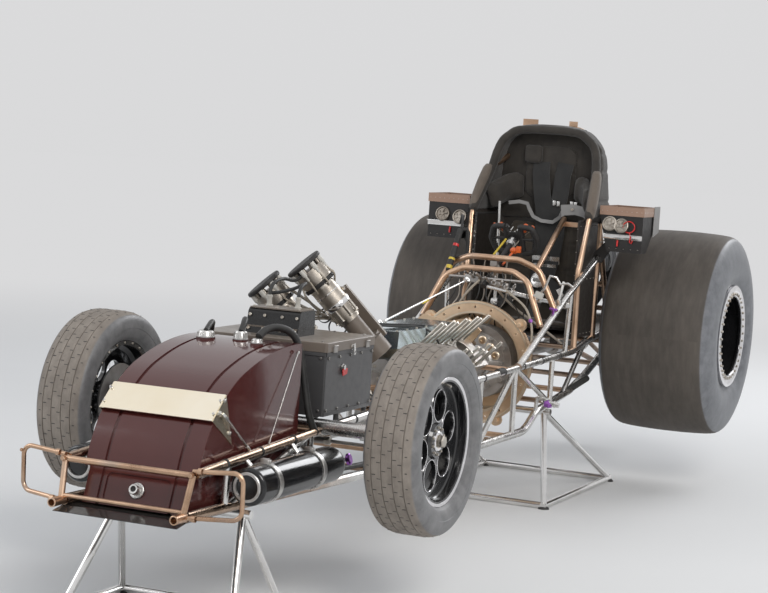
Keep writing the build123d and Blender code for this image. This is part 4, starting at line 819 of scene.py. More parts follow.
lines("coil_leads", ["-62 150 707, -62 150 742, -60 240 760, -62 330 742, -66 398 756, -84 416 772",
                     "44 150 707, 46 150 740, 30 250 752, -60 330 716, -160 372 690, -222 400 688"],
      6.2, "hose_black")

# Magnetos: bands, boots and leads
mag_axis = Vector((-0.60, -0.32, 0.73)).normalized()
leads, boots, bands, fins, caps, rings_bright = [], Shape(), Shape(), Shape(), Shape(), Shape()
for number, base in enumerate((P(70, 520.7, 610), P(-70, 500.7, 530))):
    bands.lathe(base, mag_axis, "150 46.4, 150 48, 160 48, 160 46.4", 48)
    bands.box(base + mag_axis * 0.102 + mag_axis.orthogonal().normalized() * 0.052, (8, 7, 6), None,
        1.5)
    rings_bright.lathe(base, mag_axis, "62 44, 62 49.5, 64 50.5, 78 50.5, 80 49.5, 80 44", 48)
    rings_bright.lathe(base, mag_axis, "122 45, 122 47.6, 125 47.6, 125 45", 48)
    caps.lathe(base, mag_axis, "160 45, 160 58.5, 163 60, 171 60, 174 58, 176 45", 48)
    caps.lathe(base, mag_axis, "246 0, 246 64, 249 68, 257 68, 261 65, 262 0", 48)
    for a in range(8, 58, 7):
        fins.lathe(base, mag_axis, [(a, 40), (a, 43.5), (a + 2.6, 43.5), (a + 2.6, 40)], 40)
    for place, out in circle_of(base, mag_axis, UP, 46, 8, 0.35):
        bands.rod((place + mag_axis * 0.018, place + mag_axis * 0.063), 4.2, 12, 1)
        bands.hexnut(place + mag_axis * 0.016, mag_axis, 5.5, 6)
    for k, (place, out) in enumerate(circle_of(base, mag_axis, (1, 0, 0.8219), 60, 8)):
        boots.lathe(place + mag_axis * 0.2475, -mag_axis, "0 8.6, 22 9.2, 26 8.8, 29 6.4, 46 5.2, "
            "46 0", 20)
        tip = place + mag_axis * 0.203
        bow = tip - mag_axis * 0.045 + out * (0.010 + 0.004 * (k % 3))
        gather = P(-96 + 22 * number + 5 * (k % 4), 640 + 5 * (k // 4), 610 - 6 * (k % 3))
        leads.append([tip, tip - mag_axis * 0.02 + out * 0.003, bow,
            bow.lerp(gather, 0.55) + Vector((0, 0.03, -0.01)), gather,
            P(-84 + 8 * k - 20 * number, 760 + 9 * k, 566 - 2 * k),
            P(-86 + 9 * k - 16 * number, 880, 562 + 3 * (k % 2))])
piece("magneto_fins", fins, "mag_alloy")
piece("magneto_bands", bands, "stud")
piece("magneto_rings", rings_bright, "chrome")
piece("magneto_caps", caps, "grip_black")
piece("magneto_boots", boots, "white_boot", angle=40)
lines("magneto_leads", leads, 3.3, "hose_tan", res=8)
loom = Shape()
for s, h, w in ((642, 606, 26), (760, 560, 36)):
    loom.lathe(P(-86, s, h), (0, 1, -0.35), [(0, w - 1), (1, w + 1.2), (9, w + 1.2), (10, w - 1)],
        28)
piece("lead_clips", loom, "grip_black")

# Engine: liner rims, pan and case bolts, plugs, fittings, valley hose and the timing rod
turn45 = math.sqrt(0.5)
FIRST_STUD, BORE_PITCH = 1046.9, 122
rims, bolts = Shape(), Shape()
for side, _ in sides():
    normal, across = Vector((side * turn45, 0, turn45)), Vector((side * turn45, 0, -turn45))
    for number in range(4):
        s = FIRST_STUD + (number + 0.5) * BORE_PITCH
        o = P(0, s, 320) + normal * 0.180 + across * 0.018
        rims.lathe(o, normal, "-6 52.2, 0.9 52.2, 1.3 53, 1.3 55.4, 0.2 56", 64)
        rims.lathe(o, normal, "0.1 57.6, 0.7 57.8, 0.7 58.6, 0.1 58.8", 64)
        for k in range(3):
            bolts.lathe(o + across * 0.064 + Vector((0, (k - 1) * 0.034, 0)), normal,
                "-3 7, 0.4 7, 0.4 4.8, -3 4.6", 16)
    for s in between(1030, 1580, 12):
        bolts.hexnut(P(side * 113, s, 240), (side * 0.6, 0, 0.8), 5.5, 7)
        bolts.hexnut(P(side * 98, s, 231), (side * 0.4, 0, -0.9), 5, 7)
    for s in (1070, 1192, 1314, 1436, 1540):
        bolts.lathe(P(side * 146, s, 300), (side * 0.93, 0, -0.37),
            "-4 18, 1 18, 2.4 16, -1 14, -1 0", 28)
        bolts.hexnut(P(side * 118, s + 40, 270), (side, 0, -0.2), 8, 9)
for place, out in circle_of("0 919.4 320", -BACK, UP, 90, 14):
    if abs(place.z - 0.57) < 0.1:
        bolts.hexnut(place, -BACK, 5.2, 7)
bolts.circle(NUT, "0 874 320", -BACK, UP, 62, 10, 6, 8)
bolts.hexnut("0 874 320", -BACK, 24, 20)
for x in (-84, 84):
    for s in between(912, 1468, 7):
        bolts.capscrew(P(x, s, 546.2), UP, 4.5, 4)
piece("liner_rims", rims, "stud")
piece("engine_bolts", bolts, "stud")
nuts = Shape()
normal, across = Vector((turn45, 0, turn45)), Vector((turn45, 0, -turn45))
for row, length in ((-38, 150), (74, 120)):
    for number in range(5):
        foot = P(0, FIRST_STUD + number * BORE_PITCH, 320) + normal * 0.180 + across * row / 1000
        nuts.lathe(foot, normal, "0 9, 2.5 9, 4 5.8, 22 5.8", 16)
        nuts.lathe(foot, normal, [(length - 34, 5.6), (length - 34, 6.3), (length - 2, 6.3),
            (length, 4.6), (length, 0)], 14)
normal, across = Vector((-turn45, 0, turn45)), Vector((-turn45, 0, -turn45))
for number in range(5):
    for row in (-38, 74):
        foot = P(0, FIRST_STUD + number * BORE_PITCH, 320) + normal * 0.1802 + across * row / 1000
        nuts.lathe(foot, normal, "-4 7.5, 0.5 7.5, 0.5 5.5, -6 5.2", 16)
piece("stud_collars", nuts, "stud")
rod = Shape()
rod_end(rod, "-31 1016 560, 0 1803 690", 4.2, 11)
piece("timing_rod", rod, "nickel")
mark = Shape().rod("-17 1385 618.5, -15 1430 626", 6.2, 14)
piece("rod_mark", mark, "tape_yellow")
lines("valley_hoses", ["-60 905 560, -20 960 556, 40 1020 553, 88 1130 552, 112 1210 520, "
    "128 1240 470", "-80 900 570, -30 1000 556, 60 1180 552, 104 1300 540, 120 1380 486"], 4,
    "hose_black")

# Bellhousing: lighter step inside the flange, bolts in a few holes, clutch discs, stands and levers
o = P(0, 1917, 345)
step = Shape().lathe(o, BACK, "-0.5 210, -0.5 204, 1.5 202.4, 16 202.4, 18 200.6, 150 200.6, "
    "152 196", 128)
step.lathe(o, BACK, "-0.4 252, -2.2 251, -2.2 245, -0.4 243", 128)
piece("flange_step", step, "bell_light")
flange = Shape()
for k, (place, out) in enumerate(circle_of(o, BACK, X, 228.5, 20)):
    flange.lathe(place, -BACK, "-12 5, 0.3 5, 0.6 6.8, 0 7.4, -0.5 7.4", 16)
    if k in (3, 8, 9, 14):
        flange.hexnut(place + BACK * 0.0162, BACK, 8, 10)
for turn in (41, 139, 298, 242):
    t = math.radians(turn)
    place = o + Vector((math.cos(t) * 0.262, 0, math.sin(t) * (0.262 if turn < 180 else 0.256)))
    flange.hexnut(place - BACK * 0.0004, -BACK, 11, 12)
piece("flange_bolts", flange, "bell_tan")
clutch = Shape()
for a in range(0, 78, 9):
    clutch.lathe(P(0, 1978 + a, 345), BACK, [(0, 40), (0, 152 - (a % 2) * 5),
        (4.6, 152 - (a % 2) * 5), (4.6, 40)], 96)
clutch.lathe("0 1972 345", BACK, "-14 30, -14 54, -2 58, 3 66, 3 120, 5 122, 6 40", 64)
piece("clutch_discs", clutch, "disc")
clutch = Shape()
for place, out in circle_of("0 1960 345", BACK, UP, 132, 6):
    clutch.rod((place, place + BACK * 0.1), 9, 16, 1)
    clutch.hexnut(place, -BACK, 12, 12)
for place, out in circle_of("0 1968 345", BACK, UP, 84, 6, TAU / 12):
    clutch.box(place, (34, 7, 9), (out, BACK, BACK.cross(out)), 2)
    clutch.hexnut(place + out * 0.022 - BACK * 0.007, -BACK, 6, 8)
clutch.rod("0 1900 345, 0 1972 345", 19, 24, 2)
clutch.lathe("0 1905 345", BACK, "0 19, 0 22, 42 22, 42 19", 24)
piece("clutch_levers", clutch, "steel")
plate = Shape()
for x, h in ((-118, 470), (118, 470), (-118, 240), (118, 240), (0, 158), (-140, 380), (140, 380)):
    plate.hexnut(P(x, 1612.3, h - 14), BACK, 8.5, 10)
plate.circle(NUT, "0 1672 320", BACK, UP, 20, 6, 5.5, 7, 0.4)
piece("motor_plate_bolts", plate, "stud")

# Padded pieces, sized in metres: each is lofted a little small, remeshed, blown up by cloth
# pressure and then seamed
PADS = []


def smooth(points, steps=4):
    """Points on a smooth curve through the given ones."""
    pts = path(points)
    pts = [2 * pts[0] - pts[1]] + pts + [2 * pts[-1] - pts[-2]]
    curve = []
    for a, b, c, d in zip(pts, pts[1:], pts[2:], pts[3:]):
        for k in range(steps):
            t = k / steps
            curve.append(0.5 * (2 * b + (c - a) * t + (2 * a - 5 * b + 4 * c - d) * t * t +
                (3 * b - a - 3 * c + d) * t ** 3))
    return curve + [pts[-2]]


def ring(o, u, v, a, b, n=28, p=0.6):
    """Rounded rectangle of points about o, reaching a along u and b along v, in metres."""
    points = []
    for k in range(n):
        x, y = math.cos(TAU * k / n), math.sin(TAU * k / n)
        x, y = math.copysign(abs(x) ** p, x), math.copysign(abs(y) ** p, y)
        points.append(Vector(o) + u * x * a + v * y * b)
    return points


def lofted(rings):
    """Closed form through rings of the same number of points."""
    n, last = len(rings[0]), (len(rings) - 1) * len(rings[0])
    faces = [list(range(n))[::-1], [last + k for k in range(n)]]
    for i in range(0, last, n):
        faces += [[i + k, i + (k + 1) % n, i + n + (k + 1) % n, i + n + k] for k in range(n)]
    return Shape().add([p for row in rings for p in row], faces)


def along(run, across, a, b, ends=0.55, p=0.6, n=28):
    """Pad along a run: half a across it and half b square to that, with eased ends."""
    pts = smooth(run)
    rings = []
    for i, point in enumerate(pts):
        t = heading(pts, i)
        u = square_to(across, t)
        near = min(i, len(pts) - 1 - i)
        ease = ends + (1 - ends) * min(1.0, near / 2.0)
        rings.append(ring(point, u, t.cross(u), a * (0.5 + ease / 2), b * ease, n, p))
    return lofted(rings)


def stuffed(name, shape, mat, replaces=(), cap=0.006, rest=(), seams=(), voxel=0.007):
    """Declares a pad: no swelling along the rest directions, and each seam is a plane."""
    obj = piece(name, shape, mat, replaces=replaces, angle=80)
    PADS.append((obj, cap, [Vector(way) for way in rest], seams, voxel))


def inflate():
    """Remeshes the pads, runs the cloth once, caps the swelling and presses the seams in."""
    for obj, cap, rest, seams, voxel in PADS:
        even = obj.modifiers.new("even", "REMESH")
        even.mode, even.voxel_size = "VOXEL", voxel
    graph = bpy.context.evaluated_depsgraph_get()
    for obj, *others in PADS:
        mesh = bpy.data.meshes.new_from_object(obj.evaluated_get(graph), depsgraph=graph)
        obj.modifiers.clear()
        obj.data = mesh
    before = {obj.name: [v.co.copy() for v in obj.data.vertices] for obj, *others in PADS}
    for obj, *others in PADS:
        cloth = obj.modifiers.new("fill", "CLOTH")
        cloth.settings.quality = 4
        cloth.settings.mass = 0.3
        cloth.settings.use_pressure, cloth.settings.uniform_pressure_force = True, 4.0
        cloth.settings.effector_weights.gravity = 0
        cloth.point_cache.frame_end = CLOTH_FRAMES
    for number in range(1, CLOTH_FRAMES + 1):
        bpy.context.scene.frame_set(number)
    graph = bpy.context.evaluated_depsgraph_get()
    after = {obj.name: [v.co.copy() for v in obj.evaluated_get(graph).data.vertices]
        for obj, *others in PADS}
    for obj, *others in PADS:
        obj.modifiers.clear()
    bpy.context.scene.frame_set(1)
    for obj, cap, rest, seams, voxel in PADS:
        mesh = obj.data
        for vert, old, new in zip(mesh.vertices, before[obj.name], after[obj.name]):
            move = new - old
            for way in rest:
                move -= way * max(0.0, move.dot(way))
            vert.co = old + (move * (cap / move.length) if move.length > cap else move)
        mesh.update()
        outward = [v.normal.copy() for v in mesh.vertices]
        for point, normal, width, depth in seams:
            point, normal = Vector(point), Vector(normal).normalized()
            for vert, out in zip(mesh.vertices, outward):
                off = (vert.co - point).dot(normal)
                if abs(off) < width * 3:
                    vert.co -= out * depth * math.exp(-(off / width) ** 2)
        mesh.polygons.foreach_set("use_smooth", [True] * len(mesh.polygons))
        mesh.update()
        finer = obj.modifiers.new("finer", "SUBSURF")
        finer.levels = finer.render_levels = 1


def follow(stops, t):
    """Value at t on a broken line of (t, value) stops."""
    for (low, a), (high, b) in zip(stops, stops[1:]):
        if t <= high:
            return a + (b - a) * (t - low) / (high - low)
    return stops[-1][1]


def hood_front(h):
    """Station of the surround's sloping front edge at a height."""
    return follow(((940, 2488), (1130, 2633), (1240, 2667), (1340, 2672)), h)


hood_half = [(271, 946), (264, 1000), (256, 1055), (249, 1110), (244, 1150), (238, 1190),
    (229, 1228), (212, 1262), (185, 1291), (150, 1311), (100, 1319), (50, 1321)]
hood_right = [(-x, h) for x, h in hood_half[::-1]]
hood_line = smooth([(x, 0, h) for x, h in hood_half + [(0, 1321)] + hood_right], 3)
rings = []
for i, point in enumerate(hood_line):
    t = heading(hood_line, i)
    out = Vector((t.z, 0, -t.x))
    a, b = hood_front(point.z) + 5, 2768
    rings.append(ring(P(point.x, (a + b) / 2, point.z), BACK, out, (b - a) / 2000, 0.0165, 36, 0.5))
seam_rows = ((262, 1020, 0, 1), (-262, 1020, 0, 1), (244, 1150, 0, 1), (-244, 1150, 0, 1),
    (196, 1280, 0.7, 0.7), (-196, 1280, -0.7, 0.7))
hood_seams = [(P(x, 2700, h), (nx, 0, nz), 0.005, 0.0035) for x, h, nx, nz in seam_rows]
stuffed("surround_pad", lofted(rings), "padding", ["surround"], 0.0045, (), hood_seams, 0.008)
roll_half = [(x - 4 if h < 1300 else x, h if h < 1290 else h - 6) for x, h in hood_half]
roll = smooth([P(side * x, hood_front(h) + 12, h)
    for side, rows in ((1, roll_half), (-1, roll_half[::-1])) for x, h in rows], 3)
stuffed("surround_roll", along(roll, BACK, 0.019, 0.0195, 0.8, 0.8, 22), "padding", (), 0.003,
    (), [(P(x, 2670, 1300), X, 0.004, 0.004) for x in (-120, 120)], 0.008)
rings = []
for h in list(range(915, 1320, 25)) + [1332]:
    if h < 946:
        half = 262
    elif h < 1285:
        half = min((abs(p.z - h), p.x) for p in hood_line if p.x > 0)[1] + 4
    else:
        half = 190 - (h - 1285) * 0.8
    rings.append(ring(P(0, 2762, h), X, BACK, half / 1000, 0.0085, 40, 0.3))
stuffed("surround_back", lofted(rings), "padding", (), 0.004, (BACK,),
        [(P(x, 2752, 1100), X, 0.004, 0.002) for x in (-150, 150)], 0.008)
stuffed("head_rest_pad", along([P(0, 2748, h) for h in (1016, 1070, 1130, 1190, 1244)], X, 0.118,
    0.0125, 0.5), "padding", ["head_rest"], 0.006, (BACK,),
    [(P(0, 2740, 1130), UP, 0.004, 0.004)], 0.006)
stuffed("head_bump", along([P(-78, 2728, h) for h in (1166, 1186, 1208, 1230, 1246)], X, 0.040,
    0.014, 0.35), "padding", (), 0.004, (BACK,), (), 0.005)
seat_line = [P(0, s, h) for s, h in ((2510, 482), (2550, 473), (2600, 460), (2648, 452),
    (2690, 470), (2722, 540), (2742, 620), (2748, 700), (2750, 790), (2751, 905))]
seat_seams = [(P(x, 2600, 500), X, 0.005, 0.004) for x in (-110, 110)]
seat_seams += [(P(0, s, h), (0, ny, nz), 0.005, 0.004)
    for s, h, ny, nz in ((2570, 470, 1, 0), (2745, 700, 0, 1), (2748, 820, 0, 1))]
stuffed("seat_pad", along(seat_line, X, 0.196, 0.0125, 0.7, 0.45, 40), "seat_cloth", ["seat"],
    0.006, (BACK, -UP), seat_seams, 0.007)
for side, word in sides():
    stuffed(f"leg_pad_{word}", along("270 2517 952, 267 2545 1005, 262 2580 1060, 256 2612 1106, "
        "250 2640 1142", X, 0.019, 0.027, 0.7), "pad_grey", (), 0.004, (), (), 0.005)
    stuffed(f"shoulder_pad_{word}", along("228 2600 1000, 205 2660 1030, 168 2715 1056, "
        "118 2740 1062", UP, 0.062, 0.016, 0.45), "padding", (), 0.006, (), (), 0.006)
    pack = [P(side * 80, 2994 + 417 * k / 8, 700 + 50 * k / 8) for k in range(9)]
    rings = []
    for k, point in enumerate(pack):
        size = (0.050, 0.060, 0.0625, 0.063, 0.0635, 0.063, 0.0625, 0.060, 0.048)[k]
        rings.append(ring(point, X, Vector((0, -0.12, 1)).normalized(), size, size * 0.97, 36,
            0.85))
    replaced = ["parachute_packs"] if side > 0 else ()
    pack_seams = [(pack[k], (0, 1, 0.12), 0.005, 0.004) for k in (2, 4, 6)]
    stuffed(f"pack_{word}", lofted(rings), "pack_cloth", replaced, 0.006, (), pack_seams,
        0.007)
inflate()

# Packs: lacing, closing flaps, rings and the release cables
straps, rings_shape, cables = Shape(), Shape(), []
for side, word in sides():
    for s in (3046, 3150, 3254, 3358):
        h = 700 + (s - 2990) * 0.12
        loop_pts = [P(side * 80, s, h) + Vector((math.cos(t), -0.12 * math.sin(t),
            math.sin(t))) * 0.0712 for t in [TAU * k / 40 for k in range(41)]]
        straps.strip(loop_pts, [p - P(side * 80, s, h) for p in loop_pts], 26, 1.6)
        rings_shape.box(P(side * 80, s, h + 73), (14, 11, 3), None, 1)
    rings_shape.lathe("80 3412 751", (0, 1, 0.12), "-2 20, 0 24, 3 24, 5 20, 5 12, -2 12", 28)
    cables.append(path("80 2996 702, 80 2940 690, 104 2880 700, 150 2830 800, 196 2806 900"))
    straps.strip("80 3418 752, 78 3440 730, 70 3444 640, 60 3400 560, 40 3330 500",
        Vector((0, 1, 0.2)), 44, 3)
piece("pack_straps", straps, "webbing")
piece("pack_rings", rings_shape, "nickel")
lines("pack_cables", cables, 4, "hose_black")

# Harness: shoulder and lap belts, buckle and adjusters
belts, metal = Shape(), Shape()
front = Vector((0, -1, 0.1))
for x0, x1, width in ((-40, -8, 78), (74, 52, 74)):
    belts.strip([P(x0, 2734, 1172), P(x0 * 0.9, 2722, 1120), P((x0 + x1) / 2, 2716, 1040),
        P(x1, 2712, 960), P(x1, 2716, 918), P(x1, 2726, 860), P(x1 * 0.8, 2720, 760),
        P(x1 * 0.5, 2700, 668)], front, width, 3.2)
    metal.box(P(x1 * 0.75, 2716, 742), (width / 2 + 4, 3, 17), (X, (0, 1, 0.2), (0, -0.2, 1)), 1)
    metal.box(P(x1 * 0.72, 2709, 716), (width / 2 - 6, 3, 8), (X, (0, 1, 0.3), (0, -0.3, 1)), 1)
for side, _ in sides():
    belts.strip("226 2690 520, 180 2672 540, 110 2664 590, 34 2676 640",
        [Vector((side * 0.6, -1, 0.8)), Vector((side * 0.5, -1, 0.9)),
        Vector((side * 0.3, -1, 0.8)), Vector((0, -1, 0.5))], 72, 3.2)
    metal.box("122 2662 586", (10, 3, 40), ((0.8, 0.1, 0.5), (0, -1, 0.6), (-0.5, 0, 0.8)), 1)
belts.strip("0 2560 484, 0 2610 490, 0 2650 540, 0 2676 610", Vector((0, -1, 0.9)), 50, 3)
metal.lathe("0 2684 650", (0, -1, 0.3), "0 36, 6 38, 14 36, 17 28, 18 0", 36)
metal.box("8 2664 654", (30, 4, 9), (X, (0, 1, 0.3), (0, -0.3, 1)), 2)
for x, h in ((41, 996), (60, 994), (122, 997), (140, 996)):
    metal.box(P(x, 2706, h), (7, 4, 11), None, 1.5)
piece("harness", belts, "webbing")
piece("harness_metal", metal, "nickel")
collar = Shape()
collar.prism([(98, 1243), (155, 1249), (214, 1240), (222, 1182), (204, 1196), (165, 1204),
    (118, 1198), (104, 1190)], (0, 0.962, 0), X, UP, -3)
collar.strip("-168 2690 984, -120 2698 992, -84 2700 986, -72 2700 962, -52 2700 930, "
    "-12 2698 914, 44 2690 912, 84 2660 936, 104 2632 962", (0, -1, 0.15), 16, 3)
piece("seat_collar", collar, "tray_grey")
collar = Shape().capscrew("154 2622 976", -BACK, 6, 5)
piece("collar_screw", collar, "stud")

# Yoke: wraps, buttons, hub bolts and wires; levers beside it
o = P(0, 2330, 846)
yoke_up, yoke_out = Vector((0, -0.4898, 0.8718)), Vector((0, 0.8718, 0.4898))


def on_yoke(x, up, out=0.0):
    return o + X * x / 1000 + yoke_up * up / 1000 + yoke_out * out / 1000


wraps, buttons, hub = Shape(), Shape(), Shape()
for side, _ in sides():
    for k in range(9):
        t = -0.9 + 1.8 * k / 8
        ends = [on_yoke(side * (97 - 8 * abs(a) ** 2), 44 * a, -4) for a in (t, t + 0.08)]
        wraps.rod(ends, 13.2, 16, 0.8)
    buttons.rod((on_yoke(side * 60, 66, 6), on_yoke(side * 42, 32, 12)), 11.5, 18, 3)
    buttons.lathe(on_yoke(side * 86, 56, 5), yoke_out, "0 8, 6 8, 8 5, 8 0", 16)
    wraps.rod((on_yoke(side * 34, 62, 2), on_yoke(side * 32, -66, 2)), 13.5, 18, 1)
    for x, up, r, length in ((30, 40, 6, 22), (22, 20, 5, 26), (14, 34, 4, 30), (26, -4, 5, 24),
            (16, -26, 6, 20), (24, -40, 4, 26), (10, 10, 5, 34)):
        hub.lathe(on_yoke(side * x, up, 4), yoke_out, [(0, r), (length * 0.4, r),
            (length * 0.4, r * 0.7), (length, r * 0.7), (length, 0)], 12)
hub.circle(CAP, on_yoke(0, 0), yoke_out, X, 24, 6, 3.4, 4)
hub.lathe(on_yoke(0, 0, 0), yoke_out, "0 14, 6 14, 9 11, 9 5, 4 4, 4 0", 28)
hub.lathe(on_yoke(0, 0, -20), -yoke_out, "0 17, 0 20, 24 20, 26 17, 40 14, 40 11.5", 32)
piece("yoke_wraps", wraps, "grip_black", "yoke_and_column")
piece("yoke_buttons", buttons, "button_orange", "yoke_and_column")
piece("yoke_hub", hub, "nickel", "yoke_and_column")
wire_runs = (((62, 62, 4), (50, 40, 14), (30, 14, 12), (20, -14, -14), (12, -10, -60)),
    ((84, 52, 4), (66, 26, 12), (30, 2, 14), (14, -18, -20), (8, -12, -70)))
lines("yoke_wires", [[on_yoke(s * x, up, out) for x, up, out in run]
    for run in wire_runs for s in (1, -1)], 2.2, "hose_tan", "yoke_and_column")
levers = Shape()
levers.rod("-122 2452 996, -117 2448 880", 6, 14, 1)
levers.rod("-117 2448 880, -110 2440 560", 8, 14, 1)
levers.lathe("-110 2440 560", X, "-14 16, 14 16, 14 9, -14 9", 24)
levers.rod("-110 2440 560, -96 2060 452", 5, 12, 1)
levers.rod("-96 2060 452, -70 2050 440", 9, 12, 1)
piece("hand_lever", levers, "nickel")
levers = Shape().rod("-30 2312 842, -68 2268 770", 4.5, 10, 1)
piece("ribbon_stick", levers, "tape_yellow")
bits = Shape().ball("44 2215 800", 18, 10, 0.8)
bits.box("66 2210 806", (10, 12, 14), ((1, 0.2, 0), (-0.2, 1, 0), UP), 3)
bits.rod("44 2215 800, 20 2150 740", 5, 10, 1)
piece("orange_switch", bits, "button_orange")

# Side trays: dials behind the front edge, ledge, rivets, ring and clips, end panel
dials, ledges, rivets = Shape(), Shape(), Shape()
for x, h in ((-426, 916), (-344, 908), (350, 930), (402, 924)):
    o = P(x, 2557, h)
    dials.lathe(o, (0.05, -1, 0.25), "-4 33, 8 33, 11 31, 12 27, 7 25, 7 8, 11 7, 11 0", 32)
    for k in range(6):
        t = TAU * k / 6 + 0.3
        dials.box(o + Vector((math.cos(t) * 0.017, -0.009, math.sin(t) * 0.017)), (8, 2, 2.2),
                  ((math.cos(t), 0, math.sin(t)), BACK, (-math.sin(t), 0, math.cos(t))), 0.8)
for side, _ in sides():
    ledges.box("410 2553 886", (86, 6, 1.6), None, 0.6)
    ledges.box("410 2556.5 876", (86, 1.4, 10), None, 0.6)
    for k in range(9):
        rivets.ball(P(side * (312 + 22 * k), 2556.6, 987), 3.2)
        rivets.ball(P(side * 497.6, 2572 + 25 * k, 987), 3.2)
    for k in range(5):
        rivets.ball(P(side * (352 + 32 * k), 2558, 826), 2.8)
    for s in (2606, 2634):
        rivets.capscrew(P(side * 300, s - 2, 846), -BACK, 4, 4)
piece("tray_dials", dials, "mag_alloy", angle=35)
piece("tray_ledges", ledges, "chrome")
piece("tray_rivets", rivets, "stud", angle=40)
ring_pts = [P(436 + 26 * math.cos(t), 2551, 922 + 24 * math.sin(t))
    for t in [TAU * k / 28 for k in range(29)]]
clip = Shape().tube(ring_pts, 2.6)
clip.tube("440 2552 898, 446 2548 880, 444 2548 858, 452 2549 852, 456 2551 866", 2.6)
for side, _ in sides():
    clip.rod("388 2556 862, 388 2552 836", 4, 10, 1)
piece("tray_ring", clip, "signal_red", angle=40)
panel = Shape().prism([(1036, 1130), (1122, 1150), (1122, 1262), (1040, 1262)],
                      (0.4995, 0, 0), BACK, UP, 2.2)
piece("tray_end_panel", panel, "tray_grey")

# Cockpit tub: rolled rim, filler between rim and hood, rivets
rim, fill, rivets = [], Shape(), Shape()
for side, _ in sides():
    rim.append(path("238 2478 932, 238 2560 933, 238 2660 933, 238 2764 933"))
    fill.strip("238 2634 927, 249 2634 940, 264 2634 956",
               Vector((side, 0, -0.6)), 270, 3)
    for k in range(7):
        s = 2490 + 45 * k
        for h in (442, 680, 912):
            rivets.ball(P(side * 241.2, s, h), 3.2)
    for k in range(10):
        rivets.ball(P(side * 233, 2474.6, 450 + 50 * k), 3)
lines("tub_rim", rim, 6.2, "rubber_black")
piece("hood_filler", fill, "tub_dark")
piece("tub_rivets", rivets, "stud", angle=40)

# Dash: cross shaft, clamps, curved levers, fittings, strut and hoses
shaft, small, tapes, purples = Shape(), Shape(), Shape(), Shape()
a, b = P(107, 1996, 642), P(276, 2310, 580)
shaft.rod((P(40, 1930, 660), a), 7, 16, 1)
shaft.rod((a, b), 9.5, 20, 1)
for t in (0.06, 0.5, 0.93):
    c = a.lerp(b, t)
    shaft.rod((c - (b - a).normalized() * 0.011, c + (b - a).normalized() * 0.011), 15.5, 20, 2)
    shaft.capscrew(c + Vector((0, 0, 0.0145)), UP, 4, 5)
shaft.tube("168 2108 622, 210 2100 634, 232 2094 660, 256 2085 716, 282 2090 712, 298 2100 684, "
    "330 2100 690, 352 2104 676", 5.5, 12)
shaft.tube("285 2180 690, 280 2170 650, 272 2160 600, 270 2150 560", 6, 12)
shaft.rod("206 2010 634, 244 1996 640", 5, 12, 1)
shaft.box("276 2160 600", (12, 12, 16), None, 3)
for x, s, h, r, length in ((-18, 2002, 688, 9, 34), (20, 2000, 678, 7, 28), (39, 2000, 668, 11, 30),
        (72, 2002, 664, 8, 36), (95, 2000, 655, 10, 30), (-52, 2004, 690, 7, 26),
        (128, 2010, 660, 7, 26), (10, 2060, 700, 9, 30), (-90, 2050, 690, 8, 30),
        (60, 2080, 712, 8, 26)):
    small.lathe(P(x, s, h), (0.4 if x > 30 else -0.3, -0.6, 0.5),
        [(-6, r * 0.6), (0, r * 0.6), (0, r), (length * 0.35, r), (length * 0.35, r * 0.65),
        (length, r * 0.65), (length + 2, r * 0.4), (length + 2, 0)], 14)
small.rod("-184 2021 686, 184 2021 686", 6.5, 14, 1)
small.box("0 2030 672", (95, 12, 14), ((1, 0.1, -0.15), (-0.1, 1, 0), (0.15, 0, 1)), 3)
piece("dash_shaft", shaft, "nickel", angle=35)
piece("dash_fittings", small, "steel")
block = Shape().box("246 1992 640", (17, 9, 13), ((1, 0, -0.3), BACK, (0.3, 0, 1)), 2)
piece("dash_block", block, "white_boot")
purples.rod("262 2088 582, 296 2088 578", 5.5, 12, 1)
purples.rod("279 2088 580, 278 2088 548", 6, 12, 1)
purples.lathe("246 1902 540", (0.5, -0.8, 0.1), "0 9, 12 9, 14 6, 20 6, 20 0", 6)
purples.lathe("318 1960 205", (1, 0, -0.2), "-4 17, 16 17, 20 13, 26 13, 26 0", 6)
piece("purple_fittings", purples, "purple")
strut = Shape().rod("-171 2134 876, -183 2051 704", 12.5, 20, 2)
strut.tube("-168 2136 874, -150 2152 876, -143 2150 862, -141 2150 820, -143 2150 776, "
    "-150 2140 762, -176 2096 762", 9, 14)
piece("dash_strut", strut, "rubber_black", angle=35)
a, b = P(-171, 2134, 876), P(-183, 2051, 704)
for t, length in ((0.88, 0.016), (0.70, 0.010)):
    c = a.lerp(b, t)
    tapes.rod((c, c + (b - a).normalized() * length), 13.4, 20, 0.6)
piece("strut_tape", tapes, "tape_yellow")
tapes = Shape()
c = a.lerp(b, 0.36)
tapes.rod((c, c + (b - a).normalized() * 0.012), 13.4, 20, 0.6)
piece("strut_band", tapes, "signal_red")
lines("dash_hoses", ["95 1992 652, 144 1980 624, 200 1966 590, 232 1950 540, 246 1940 480, "
    "244 1935 420, 232 1960 380", "-20 2000 680, -60 1990 640, -110 1985 560, -150 1990 470, "
    "-200 2010 395", "40 2010 664, 60 2100 600, 90 2220 540, 160 2330 470, 220 2400 410"], 5.2,
    "hose_tan")
lines("strut_hose", ["-170 2136 878, -178 2180 926, -236 2300 930, -300 2470 908, -342 2556 880"],
    5.5, "rubber_black")
lines("dash_wires", [[P(x, 2030, 716 if abs(x) < 112 else 702),
    P(x * 1.2 + 30 * (-1) ** k, 1985, 620), P(x * 1.3 - 24 * (-1) ** k, 2010, 560),
    P(x * 1.1, 2080, 500 - 8 * k), P(x * 0.8, 2200, 452), P(x * 0.6 + 12 * k, 2380, 440)]
    for k, x in enumerate((-120, -70, -30, 24, 66, 110, 150))], 2.6, "hose_black")
